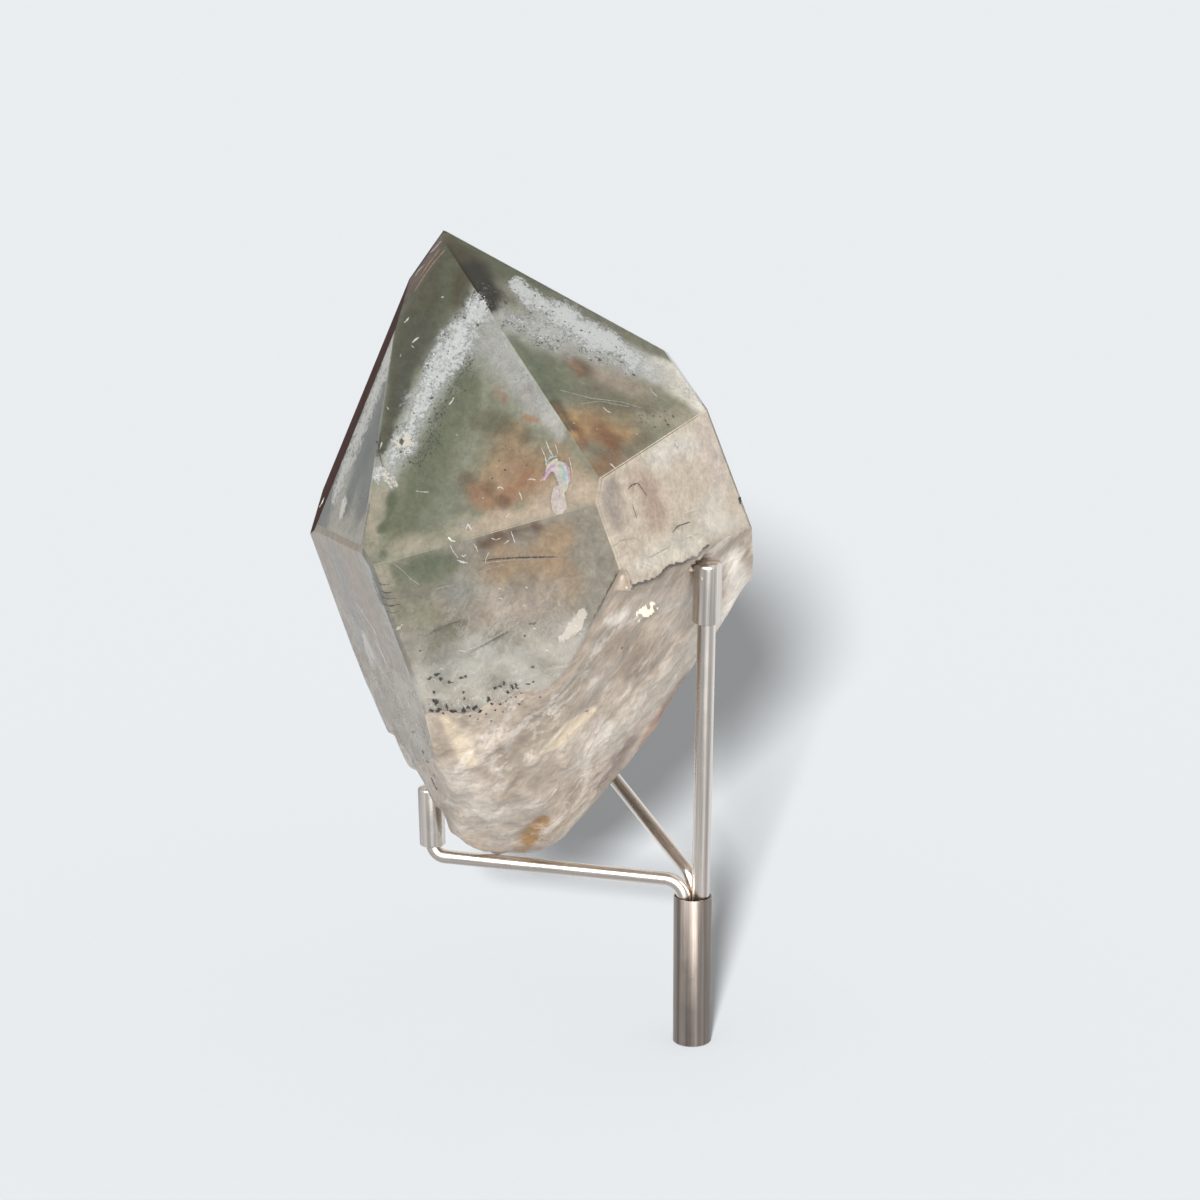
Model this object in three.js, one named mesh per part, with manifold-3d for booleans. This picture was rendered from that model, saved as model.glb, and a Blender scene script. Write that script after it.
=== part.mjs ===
// A large quartz point with a broken root, leaning in a stand of bent steel rods.
//
// Millimetres, +Z up. The origin is the middle of the flat lower end of the
// socket, -Y is the side that the stand shows to the room, +X is to the right.

import * as THREE from 'three';
import { ConvexGeometry } from 'three/addons/geometries/ConvexGeometry.js';
import { mergeVertices } from 'three/addons/utils/BufferGeometryUtils.js';
import Module from 'manifold-3d';

const wasm = await Module();
wasm.setup();

// Gaps between pieces
const touchGap = 0.3;
const sleeveGap = 0.2;

// Steel stand: diameters of the rods, their end caps and the socket
const postDiameter = 3.9;
const armDiameter = 3.1;
const postCapDiameter = 6;
const armCapDiameter = 5.7;
const capLength = 13.5;
const capEdgeRadius = 0.9;
const capBoreDepth = 9;
const socketDiameter = 8.3;
const socketWall = 0.35;
const socketHeight = 33.4;
const socketPocketDepth = 6;
const socketChamfer = 0.25;

// Route of the rods: foot in the socket's pocket, corners, and the cap's top
const rodFootHeight = socketHeight - socketPocketDepth + 0.8;
const postFoot = new THREE.Vector3(1.6, 0.15, rodFootHeight);
const postTop = new THREE.Vector3(2.42, -10, 110.2);
const frontArmHeight = 37;
const frontArmFoot = new THREE.Vector3(-1.95, -0.8, rodFootHeight);
const frontArmKnee = new THREE.Vector3(-1.95, -0.8, frontArmHeight);
const frontArmCorner = new THREE.Vector3(-57, 17, frontArmHeight);
const frontCapTop = new THREE.Vector3(-57.4, 17, 53);
const rearArmFoot = new THREE.Vector3(-0.15, 1.95, rodFootHeight);
const rearArmKnee = new THREE.Vector3(-0.15, 1.95, 37.2);
const rearArmCorner = new THREE.Vector3(-27, 45, 59.5);
const rearCapTop = new THREE.Vector3(-27, 45, 76);
const armBends = [4, 3];

// Quartz: a point on the long axis, and how the crystal is turned about it
const axisPoint = new THREE.Vector3(-25.4, 14, 105);
const spinDegrees = -7.3;
const leanDegrees = 19.1;
const tipDegrees = 2.5;

// Faces of the crystal: compass angle about the long axis (-90 faces the front),
// slope between the face's normal and the axis, distance from the axis point
const pointSlope = 51.6;
const crystalFaces = {
  frontPoint: { compass: -89.6, slope: pointSlope, distance: 47.9 },
  rightPoint: { compass: -29.7, slope: pointSlope, distance: 45.5 },
  rearRightPoint: { compass: 30.2, slope: 51.1, distance: 46.6 },
  rearPoint: { compass: 90, slope: pointSlope, distance: 50.2 },
  rearLeftPoint: { compass: 149.2, slope: 51.2, distance: 50.5 },
  leftPoint: { compass: -149.6, slope: 52.5, distance: 54 },
  frontSide: { compass: -90.3, slope: 89.9, distance: 43.6 },
  rightSide: { compass: -30.4, slope: 89.95, distance: 38 },
  rearRightSide: { compass: 29.5, slope: 88.2, distance: 31.2 },
  rearSide: { compass: 90, slope: 89, distance: 31 },
  rearLeftSide: { compass: 150, slope: 87.7, distance: 41.2 },
  leftSide: { compass: -150.4, slope: 89.75, distance: 48.6 },
  wornApex: { compass: -115.6, slope: 38.4, distance: 59.9 },
  wornLeftEdge: { compass: -164, slope: 49.5, distance: 55 },
};
const lengthBelowAxisPoint = 110;

// Broken root: nearly flat breaks, each through a point of the room frame.
// Compass is the way a break looks in plan, fall how far it looks down.
const rightShoulder = [13, 14, 99.5];
const rightWaist = [-8.6, 14, 63.7];
const leftCorner = [-70.6, 12.5, 73.7];
const breaks = {
  upperFront: { compass: -90, fall: 28, through: [-45, -26.5, 85] },
  lowerFront: { compass: -88, fall: 49.5, through: [-45, -14, 62] },
  upperRight: { compass: -39.4, fall: 25.3, through: rightShoulder },
  lowerRight: { compass: -42.2, fall: 31.4, through: rightWaist },
  upperRearRight: { compass: 39.4, fall: 25.3, through: rightShoulder },
  lowerRearRight: { compass: 42.2, fall: 31.4, through: rightWaist },
  left: { compass: -157, fall: 28, through: leftCorner },
  rearLeft: { compass: 121, fall: 17, through: leftCorner },
  rear: { compass: 90, fall: 24, through: [-35, 46, 80] },
  foot: { compass: -90, fall: 84, through: [-41, 16, 36.7] },
};
const rootCentre = new THREE.Vector3(-38, 8, 75);
const rootReach = 130;
const rootDetail = 16;
const rootEdgeRounding = 1.1;

// Relief of the break: slanting ledges, a rolling surface and small chips
const ledgeAcross = new THREE.Vector3(0.825, 0, -0.564);
const ledges = { spacing: 9, height: 1.3, wander: 5, wanderSize: 14 };
const rolls = { height: 1.5, size: 11 };
const chips = { height: 0.7, size: 4 };

// Plate of sound crystal that the break left standing on the right side.
// Its outline lies in that face: across to the right, and up along the axis,
// from the corner where the front and right point faces meet the sides.
const plateOutline = [
  [-4, -9.6], [-3, -17.2], [-2.2, -20.7], [-2.9, -23.7], [4.4, -25.4], [10, -25.1],
  [19.9, -27.2], [26.6, -25.2], [33.8, -25.9], [42, -26.6], [42, 4], [-4, 4],
];
const plateThickness = 12;
const plateProud = 1;
const plateJag = { height: 0.8, spacing: 2.4 };

// Fineness of the round pieces
const rodSides = 16;
const capSides = 28;
const socketSides = 40;
const armSteps = 52;
const edgeSteps = 4;

const up = new THREE.Vector3(0, 0, 1);
const { degToRad, lerp } = THREE.MathUtils;

// Solids for joining and cutting
function toSolid(geometry) {
  const bare = geometry.clone();
  bare.deleteAttribute('normal');
  bare.deleteAttribute('uv');
  const merged = mergeVertices(bare, 1e-5);
  return new wasm.Manifold(new wasm.Mesh({
    numProp: 3,
    vertProperties: new Float32Array(merged.attributes.position.array),
    triVerts: new Uint32Array(merged.index.array),
  }));
}

function toGeometry(solid) {
  const mesh = solid.getMesh();
  const geometry = new THREE.BufferGeometry();
  geometry.setAttribute('position', new THREE.BufferAttribute(mesh.vertProperties, 3));
  geometry.setIndex(new THREE.BufferAttribute(mesh.triVerts, 1));
  geometry.computeVertexNormals();
  return geometry;
}

// Smooth noise between 0 and 1
function latticeValue(x, y, z) {
  const wave = Math.sin(x * 127.1 + y * 311.7 + z * 74.7) * 43758.5453;
  return wave - Math.floor(wave);
}

function smoothNoise(point, size) {
  const ease = (t) => t * t * (3 - 2 * t);
  const [x, y, z] = [point.x / size, point.y / size, point.z / size];
  const [cellX, cellY, cellZ] = [Math.floor(x), Math.floor(y), Math.floor(z)];
  const row = (dy, dz) => lerp(
    latticeValue(cellX, cellY + dy, cellZ + dz),
    latticeValue(cellX + 1, cellY + dy, cellZ + dz),
    ease(x - cellX),
  );
  const layer = (dz) => lerp(row(0, dz), row(1, dz), ease(y - cellY));
  return lerp(layer(0), layer(1), ease(z - cellZ));
}

// Rods: a round section carried along straight runs joined by true arcs
class ArcCurve extends THREE.Curve {
  constructor(centre, startArm, endArm) {
    super();
    this.centre = centre;
    this.startArm = startArm;
    this.turn = new THREE.Vector3().crossVectors(startArm, endArm).normalize();
    this.angle = startArm.angleTo(endArm);
  }

  getPoint(t, target = new THREE.Vector3()) {
    target.copy(this.startArm).applyAxisAngle(this.turn, this.angle * t);
    return target.add(this.centre);
  }
}

function bentPath(points, bendRadii) {
  const path = new THREE.CurvePath();
  let from = points[0];
  for (let i = 1; i < points.length - 1; i += 1) {
    const corner = points[i];
    const radius = bendRadii[i - 1];
    const back = points[i - 1].clone().sub(corner).normalize();
    const ahead = points[i + 1].clone().sub(corner).normalize();
    const inward = back.clone().add(ahead).normalize();
    const halfAngle = back.angleTo(ahead) / 2;
    const start = corner.clone().addScaledVector(back, radius / Math.tan(halfAngle));
    const end = corner.clone().addScaledVector(ahead, radius / Math.tan(halfAngle));
    const centre = corner.clone().addScaledVector(inward, radius / Math.sin(halfAngle));
    path.add(new THREE.LineCurve3(from, start));
    path.add(new ArcCurve(centre, start.clone().sub(centre), end.clone().sub(centre)));
    from = end;
  }
  path.add(new THREE.LineCurve3(from, points.at(-1)));
  return path;
}

function rodGeometry(path, diameter, steps) {
  const section = new THREE.Shape();
  section.absarc(0, 0, diameter / 2, 0, Math.PI * 2);
  return new THREE.ExtrudeGeometry(section, {
    steps,
    curveSegments: rodSides / 2,
    bevelEnabled: false,
    extrudePath: path,
  });
}

// The rod stops short of the blind end of its cap's bore
function pathIntoCap(corners, capTop, bendRadii) {
  const along = capTop.clone().sub(corners.at(-1)).normalize();
  const end = capTop.clone().addScaledVector(along, capBoreDepth - capLength - touchGap);
  return bentPath([...corners, end], bendRadii);
}

// Round pieces turned about Z from a profile of [radius, height] corners
function turned(profile, sides) {
  const points = profile.map(([radius, height]) => new THREE.Vector2(radius, height));
  return new THREE.LatheGeometry(points, sides).rotateX(Math.PI / 2);
}

function roundedEdge(centreRadius, centreHeight, fromDegrees) {
  const corners = [];
  for (let i = 0; i <= edgeSteps; i += 1) {
    const angle = degToRad(fromDegrees + (90 * i) / edgeSteps);
    corners.push([
      centreRadius + capEdgeRadius * Math.cos(angle),
      centreHeight + capEdgeRadius * Math.sin(angle),
    ]);
  }
  return corners;
}

// Rounded sleeve that closes a rod's end, with the middle of its top at the origin
function capGeometry(capDiameter, rodDiameter) {
  const edgeCentre = capDiameter / 2 - capEdgeRadius;
  const boreRadius = rodDiameter / 2 + sleeveGap;
  return turned([
    [0, capBoreDepth - capLength],
    [boreRadius, capBoreDepth - capLength],
    [boreRadius, -capLength],
    ...roundedEdge(edgeCentre, capEdgeRadius - capLength, -90),
    ...roundedEdge(edgeCentre, -capEdgeRadius, 0),
    [0, 0],
  ], capSides);
}

// A plain, slightly larger bar in the cap's place, for cutting clearance
function capClearance(capDiameter) {
  const radius = capDiameter / 2 + touchGap;
  return turned([
    [0, -capLength - touchGap],
    [radius, -capLength - touchGap],
    [radius, touchGap],
    [0, touchGap],
  ], capSides);
}

function capTurn(capTop, below) {
  const along = capTop.clone().sub(below).normalize();
  return new THREE.Quaternion().setFromUnitVectors(up, along);
}

function socketGeometry() {
  const outer = socketDiameter / 2;
  const inner = outer - socketWall;
  const pocketFloor = socketHeight - socketPocketDepth;
  return turned([
    [0, 0],
    [outer - socketChamfer, 0],
    [outer, socketChamfer],
    [outer, socketHeight],
    [inner, socketHeight],
    [inner, pocketFloor],
    [0, pocketFloor],
  ], socketSides);
}

// The rear arm's foot is ground away where the other two rods crowd it
function rearArmGeometry(rearPath, postPath, frontPath) {
  const rod = toSolid(rodGeometry(rearPath, armDiameter, armSteps));
  const roomForPost = toSolid(rodGeometry(postPath, postDiameter + 2 * touchGap, 1));
  const roomForArm = toSolid(rodGeometry(frontPath, armDiameter + 2 * touchGap, armSteps));
  return toGeometry(rod.subtract(roomForPost).subtract(roomForArm));
}

// Crystal faces as planes of the room frame
function crystalPlanes() {
  const spin = new THREE.Matrix4().makeRotationZ(degToRad(spinDegrees));
  const lean = new THREE.Matrix4().makeRotationY(-degToRad(leanDegrees));
  const tip = new THREE.Matrix4().makeRotationX(degToRad(tipDegrees));
  const turn = tip.multiply(lean).multiply(spin);
  const planeOf = ({ compass, slope, distance }) => {
    const normal = new THREE.Vector3(Math.sin(degToRad(slope)), 0, Math.cos(degToRad(slope)));
    normal.applyAxisAngle(up, degToRad(compass)).transformDirection(turn);
    return { normal, offset: normal.dot(axisPoint) + distance };
  };
  const planes = {};
  for (const [name, face] of Object.entries(crystalFaces)) {
    planes[name] = planeOf(face);
  }
  planes.farEnd = planeOf({ compass: 0, slope: 180, distance: lengthBelowAxisPoint });
  return planes;
}

function meetingPoint(a, b, c) {
  const rows = new THREE.Matrix3().set(
    a.normal.x, a.normal.y, a.normal.z,
    b.normal.x, b.normal.y, b.normal.z,
    c.normal.x, c.normal.y, c.normal.z,
  );
  if (Math.abs(rows.determinant()) < 1e-6) {
    return null;
  }
  return new THREE.Vector3(a.offset, b.offset, c.offset).applyMatrix3(rows.invert());
}

// The unbroken crystal is the hull of the corners that lie inside every face
function unbrokenCrystal(planes) {
  const faces = Object.values(planes);
  const inside = (point) => faces.every(({ normal, offset }) => normal.dot(point) < offset + 1e-4);
  const corners = [];
  for (let i = 0; i < faces.length; i += 1) {
    for (let j = i + 1; j < faces.length; j += 1) {
      for (let k = j + 1; k < faces.length; k += 1) {
        const corner = meetingPoint(faces[i], faces[j], faces[k]);
        if (corner && inside(corner)) {
          corners.push(corner);
        }
      }
    }
  }
  return toSolid(new ConvexGeometry(corners));
}

// Distance from the root's centre to the breaks, with their edges rounded
function reachTowards(direction, planes) {
  const reaches = [rootReach];
  for (const { normal, offset } of planes) {
    const facing = normal.dot(direction);
    if (facing > 1e-3) {
      reaches.push((offset - normal.dot(rootCentre)) / facing);
    }
  }
  const nearest = Math.min(...reaches);
  const pull = (reach) => Math.exp((nearest - reach) / rootEdgeRounding);
  const crowd = reaches.reduce((sum, reach) => sum + pull(reach), 0);
  return nearest - rootEdgeRounding * Math.log(crowd);
}

function breakRelief(point) {
  const wander = ledges.wander * smoothNoise(point, ledges.wanderSize);
  const level = (point.dot(ledgeAcross) + wander) / ledges.spacing;
  const ledge = (level - Math.floor(level) - 0.5) * ledges.height;
  const roll = (smoothNoise(point, rolls.size) - 0.5) * rolls.height;
  const chip = (smoothNoise(point, chips.size) - 0.5) * chips.height;
  return ledge + roll + chip;
}

function brokenRoot() {
  const planes = Object.values(breaks).map(({ compass, fall, through }) => {
    const level = Math.cos(degToRad(fall));
    const normal = new THREE.Vector3(
      Math.cos(degToRad(compass)) * level,
      Math.sin(degToRad(compass)) * level,
      -Math.sin(degToRad(fall)),
    );
    return { normal, offset: normal.dot(new THREE.Vector3(...through)) };
  });
  const geometry = new THREE.IcosahedronGeometry(1, rootDetail);
  geometry.deleteAttribute('normal');
  geometry.deleteAttribute('uv');
  const ball = mergeVertices(geometry, 1e-4);
  const { position } = ball.attributes;
  const point = new THREE.Vector3();
  for (let i = 0; i < position.count; i += 1) {
    const direction = new THREE.Vector3().fromBufferAttribute(position, i).normalize();
    const reach = reachTowards(direction, planes);
    point.copy(rootCentre).addScaledVector(direction, reach);
    point.addScaledVector(direction, breakRelief(point));
    position.setXYZ(i, point.x, point.y, point.z);
  }
  return toSolid(ball);
}

// The plate's outline gets small teeth along every side
function jaggedOutline() {
  const outline = [];
  plateOutline.forEach(([fromAcross, fromUp], i) => {
    const [toAcross, toUp] = plateOutline[(i + 1) % plateOutline.length];
    const length = Math.hypot(toAcross - fromAcross, toUp - fromUp);
    const teeth = Math.max(1, Math.round(length / plateJag.spacing));
    for (let tooth = 0; tooth < teeth; tooth += 1) {
      const side = (latticeValue(i, tooth, 3) - 0.5) * plateJag.height;
      outline.push(new THREE.Vector2(
        lerp(fromAcross, toAcross, tooth / teeth) + side * 0.5,
        lerp(fromUp, toUp, tooth / teeth) + side,
      ));
    }
  });
  return outline;
}

function standingPlate(planes) {
  const { rightSide, frontPoint, rightPoint, farEnd } = planes;
  const corner = meetingPoint(rightSide, frontPoint, rightPoint);
  const across = new THREE.Vector3().crossVectors(rightSide.normal, farEnd.normal).normalize();
  const upward = new THREE.Vector3().crossVectors(rightSide.normal, across);
  const geometry = new THREE.ExtrudeGeometry(new THREE.Shape(jaggedOutline()), {
    depth: plateThickness,
    bevelEnabled: false,
  });
  geometry.translate(0, 0, plateProud - plateThickness);
  geometry.applyMatrix4(new THREE.Matrix4().makeBasis(across, upward, rightSide.normal));
  geometry.translate(corner.x, corner.y, corner.z);
  return toSolid(geometry);
}

function crystalGeometry(clearances) {
  const planes = crystalPlanes();
  const standing = brokenRoot().add(standingPlate(planes));
  let crystal = unbrokenCrystal(planes).intersect(standing);
  for (const clearance of clearances) {
    crystal = crystal.subtract(clearance);
  }
  return toGeometry(crystal);
}

// Assembly
const steel = (name) => new THREE.MeshStandardMaterial({
  name: `${name}_steel`,
  color: 0xa9a29a,
  metalness: 1,
  roughness: 0.3,
});

function addPiece(group, name, geometry, material) {
  const mesh = new THREE.Mesh(geometry, material);
  mesh.name = name;
  group.add(mesh);
  return mesh;
}

function buildObject() {
  const object = new THREE.Group();
  object.name = 'quartz_point_on_stand';

  const postPath = pathIntoCap([postFoot], postTop, []);
  const frontPath = pathIntoCap(
    [frontArmFoot, frontArmKnee, frontArmCorner],
    frontCapTop,
    armBends,
  );
  const rearPath = pathIntoCap([rearArmFoot, rearArmKnee, rearArmCorner], rearCapTop, armBends);
  const rods = [
    { name: 'post', geometry: rodGeometry(postPath, postDiameter, 1) },
    { name: 'front_arm', geometry: rodGeometry(frontPath, armDiameter, armSteps) },
    { name: 'rear_arm', geometry: rearArmGeometry(rearPath, postPath, frontPath) },
  ];
  const postSizes = { cap: postCapDiameter, rod: postDiameter };
  const armSizes = { cap: armCapDiameter, rod: armDiameter };
  const caps = [
    { name: 'post_cap', top: postTop, below: postFoot, ...postSizes },
    { name: 'front_cap', top: frontCapTop, below: frontArmCorner, ...armSizes },
    { name: 'rear_cap', top: rearCapTop, below: rearArmCorner, ...armSizes },
  ];

  addPiece(object, 'socket', socketGeometry(), steel('socket'));
  for (const { name, geometry } of rods) {
    addPiece(object, name, geometry, steel(name));
  }
  const clearances = [
    toSolid(rodGeometry(frontPath, armDiameter + 2 * touchGap, armSteps)),
    toSolid(rodGeometry(rearPath, armDiameter + 2 * touchGap, armSteps)),
  ];
  for (const { name, top, below, cap, rod } of caps) {
    const mesh = addPiece(object, name, capGeometry(cap, rod), steel(name));
    mesh.quaternion.copy(capTurn(top, below));
    mesh.position.copy(top);
    mesh.updateMatrix();
    clearances.push(toSolid(capClearance(cap).applyMatrix4(mesh.matrix)));
  }

  addPiece(object, 'crystal', crystalGeometry(clearances), new THREE.MeshStandardMaterial({
    name: 'quartz',
    color: 0xc9c5b8,
    roughness: 0.2,
  }));
  return object;
}

export default buildObject();
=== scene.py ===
import math
import random

import bmesh
import bpy
import numpy as np
from mathutils import Matrix, Vector
from mathutils.bvhtree import BVHTree
from mathutils.kdtree import KDTree
from mathutils.geometry import delaunay_2d_cdt


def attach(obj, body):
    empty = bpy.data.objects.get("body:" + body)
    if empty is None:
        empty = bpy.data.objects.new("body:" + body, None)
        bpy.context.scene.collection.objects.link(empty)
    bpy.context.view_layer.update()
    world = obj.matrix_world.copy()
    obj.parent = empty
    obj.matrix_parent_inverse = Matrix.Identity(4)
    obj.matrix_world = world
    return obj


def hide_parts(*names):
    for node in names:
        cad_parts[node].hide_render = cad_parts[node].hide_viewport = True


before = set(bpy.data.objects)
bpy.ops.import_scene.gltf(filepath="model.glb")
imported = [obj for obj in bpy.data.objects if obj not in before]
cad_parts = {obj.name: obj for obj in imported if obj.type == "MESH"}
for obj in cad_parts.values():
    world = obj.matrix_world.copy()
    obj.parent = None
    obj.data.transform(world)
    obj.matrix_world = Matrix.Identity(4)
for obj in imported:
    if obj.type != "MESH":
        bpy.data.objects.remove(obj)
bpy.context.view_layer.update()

# Lengths in this file are in millimetres until a mesh is made
MM = 0.001
rng = np.random.default_rng(41)
random.seed(41)

# Camera: what it looks at, how far off and how high it stands, and its angle of view
LOOK_AT = (-20.1, 0, 99.4)
CAMERA_DISTANCE = 740
CAMERA_RISE = math.radians(14)
CAMERA_ANGLE = math.radians(19.519)

# Marks are laid out as pixels of a picture of this size, taken by that camera
PICTURE_SIZE = 1200
FOCAL_PIXELS = PICTURE_SIZE / 2 / math.tan(CAMERA_ANGLE / 2)
AHEAD = Vector((0, math.cos(CAMERA_RISE), -math.sin(CAMERA_RISE)))
ABOVE = Vector((0, math.sin(CAMERA_RISE), math.cos(CAMERA_RISE)))
EYE = Vector(LOOK_AT) - AHEAD * CAMERA_DISTANCE
CRYSTAL_MIDDLE = (560, 600)

# Faces of the crystal by the way they look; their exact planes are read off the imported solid
FACE_LOOKS = {
    "frontPoint": (-0.292, -0.802, 0.522),
    "rightPoint": (0.388, -0.506, 0.770),
    "rearRightPoint": (0.472, 0.266, 0.840),
    "rearPoint": (-0.109, 0.750, 0.653),
    "rearLeftPoint": (-0.785, 0.463, 0.412),
    "leftPoint": (-0.889, -0.326, 0.323),
    "frontSide": (-0.126, -0.989, -0.085),
    "rightSide": (0.747, -0.622, 0.233),
    "rearRightSide": (0.864, 0.363, 0.349),
    "rearSide": (0.114, 0.988, 0.101),
    "rearLeftSide": (-0.764, 0.615, -0.196),
    "leftSide": (-0.876, -0.366, -0.315),
    "wornApex": (-0.575, -0.549, 0.607),
    "wornLeftEdge": (-0.923, -0.131, 0.362),
}
LONG_AXIS = Vector((-0.33, -0.04, 0.94)).normalized()
TIP = Vector((-54.9, 12.1, 176.4))


# Depth of each layer of marks under the faces; the worn and the rear faces have less
CORE_DEPTH = 1.3
# Where frost starts and where it is full, along the crystal's length
FROST_START = 126
FROST_FULL = 110
# The same for the rim where the faces cloud over towards the break
RIM_START = 99
RIM_FULL = 84
VEIL_DEPTH = 0.7
LAYER_DEPTHS = {"core": CORE_DEPTH, "veil": VEIL_DEPTH, "speck": VEIL_DEPTH}
QUARTZ_IOR = 1.544
ROOT_CORE_DEPTH = 0.9
THIN_FACES = {
    "leftPoint": 0.35, "wornApex": 0.35, "wornLeftEdge": 0.25, "rearRightPoint": 0.3, "rearRightSide": 0.4,
    "rearPoint": 0.5, "rearSide": 0.5, "rearLeftPoint": 0.25, "rearLeftSide": 0.4,
}

# Colours, as plain 0 to 1 values of light
# Share of its gloss that an etched or stained face lacks
DULL_FACES = {"wornLeftEdge": 1.0, "leftPoint": 0.5, "leftSide": 0.6}
BROKEN_DULLNESS = 0.5
PALETTE = {
    "grey_green": (0.30, 0.305, 0.23),
    "green": (0.191, 0.207, 0.134),
    "deep_green": (0.116, 0.14, 0.084),
    "sage": (0.25, 0.265, 0.20),
    "olive_and_painted_shade": (0.10, 0.10, 0.062),
    "olive": (0.13, 0.14, 0.085),
    "brown_olive": (0.085, 0.07, 0.035),
    "slate_dark": (0.095, 0.10, 0.078),
    "brown_and_painted_shade": (0.013, 0.009, 0.001),
    "olive_grey": (0.30, 0.29, 0.21),
    "olive_mid": (0.208, 0.194, 0.13),
    "olive_light": (0.346, 0.321, 0.231),
    "olive_streak": (0.20, 0.19, 0.12),
    "pale_olive": (0.482, 0.432, 0.336),
    "tan": (0.40, 0.285, 0.175),
    "light_tan": (0.47, 0.34, 0.22),
    "tan_brown": (0.289, 0.177, 0.097),
    "pale_tan": (0.62, 0.51, 0.40),
    "amber": (0.551, 0.343, 0.152),
    "brown_grey": (0.15, 0.135, 0.085),
    "umber": (0.16, 0.10, 0.06),
    "umber_dark": (0.012, 0.005, 0.004),
    "rust": (0.414, 0.228, 0.131),
    "rust_dark": (0.215, 0.08, 0.028),
    "rust_orange": (0.45, 0.22, 0.10),
    "bright_beige": (0.919, 0.881, 0.796),
    "pale_beige": (0.737, 0.637, 0.525),
    "pearl": (0.582, 0.588, 0.564),
    "ash": (0.38, 0.375, 0.34),
    "cool_grey": (0.45, 0.43, 0.38),
    "warm_grey": (0.36, 0.325, 0.265),
    "lilac_grey": (0.37, 0.276, 0.176),
    "rose_grey": (0.41, 0.276, 0.172),
    "warm_edge": (0.344, 0.221, 0.129),
    "shade_grey": (0.3, 0.285, 0.25),
    "pinkish_grey": (0.482, 0.396, 0.319),
    "dusty_pink": (0.54, 0.38, 0.30),
    "pink_white": (0.76, 0.66, 0.59),
    "milk_green": (0.855, 0.816, 0.75),
    "grey_mauve": (0.38, 0.32, 0.28),
    "milk": (0.40, 0.35, 0.29),
    "white": (0.785, 0.803, 0.811),
    "cream": (0.90, 0.82, 0.72),
    "gold": (0.45, 0.30, 0.13),
    "mauve": (0.17, 0.125, 0.105),
    "glint": (0.95, 0.93, 0.90),
    "crack_pale": (0.55, 0.51, 0.44),
    "crack": (0.10, 0.09, 0.075),
    "crack_dark": (0.14, 0.13, 0.12),
    "left_olive_and_painted_shade": (0.15, 0.145, 0.115),
    "left_green_and_painted_shade": (0.09, 0.098, 0.072),
    "left_low": (0.46, 0.42, 0.33),
    "left_white": (0.74, 0.7, 0.63),
    "blue_grey": (0.499, 0.499, 0.479),
    "painted_glint_white": (0.97, 0.955, 0.93),
    "root_bright": (0.88, 0.80, 0.71),
    "umber_crust": (0.071, 0.045, 0.041),
    "olive_rim": (0.185, 0.185, 0.132),
    "band_white": (0.66, 0.671, 0.66),
    "iris_base": (0.72, 0.69, 0.65),
    "iris_pink": (0.74, 0.66, 0.62),
    # Painted rainbow sheen of a crack, over its pale patch
    "iris_violet": (0.74, 0.50, 0.70),
    "iris_yellow": (0.86, 0.82, 0.60),
    "iris_blue": (0.55, 0.72, 0.82),
    "iris_green": (0.60, 0.76, 0.62),
    "root_grey": (0.449, 0.367, 0.294),
    "root_warm": (0.537, 0.448, 0.367),
    "root_dull": (0.378, 0.315, 0.253),
    "root_brown": (0.311, 0.231, 0.168),
    "root_white": (0.688, 0.612, 0.531),
    "root_cream": (0.744, 0.621, 0.47),
    "root_green": (0.324, 0.276, 0.216),
    "root_gold": (0.38, 0.201, 0.06),
    "root_tan": (0.56, 0.44, 0.33),
    "root_mauve": (0.26, 0.19, 0.165),
    "root_red": (0.33, 0.18, 0.135),
}

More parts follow.
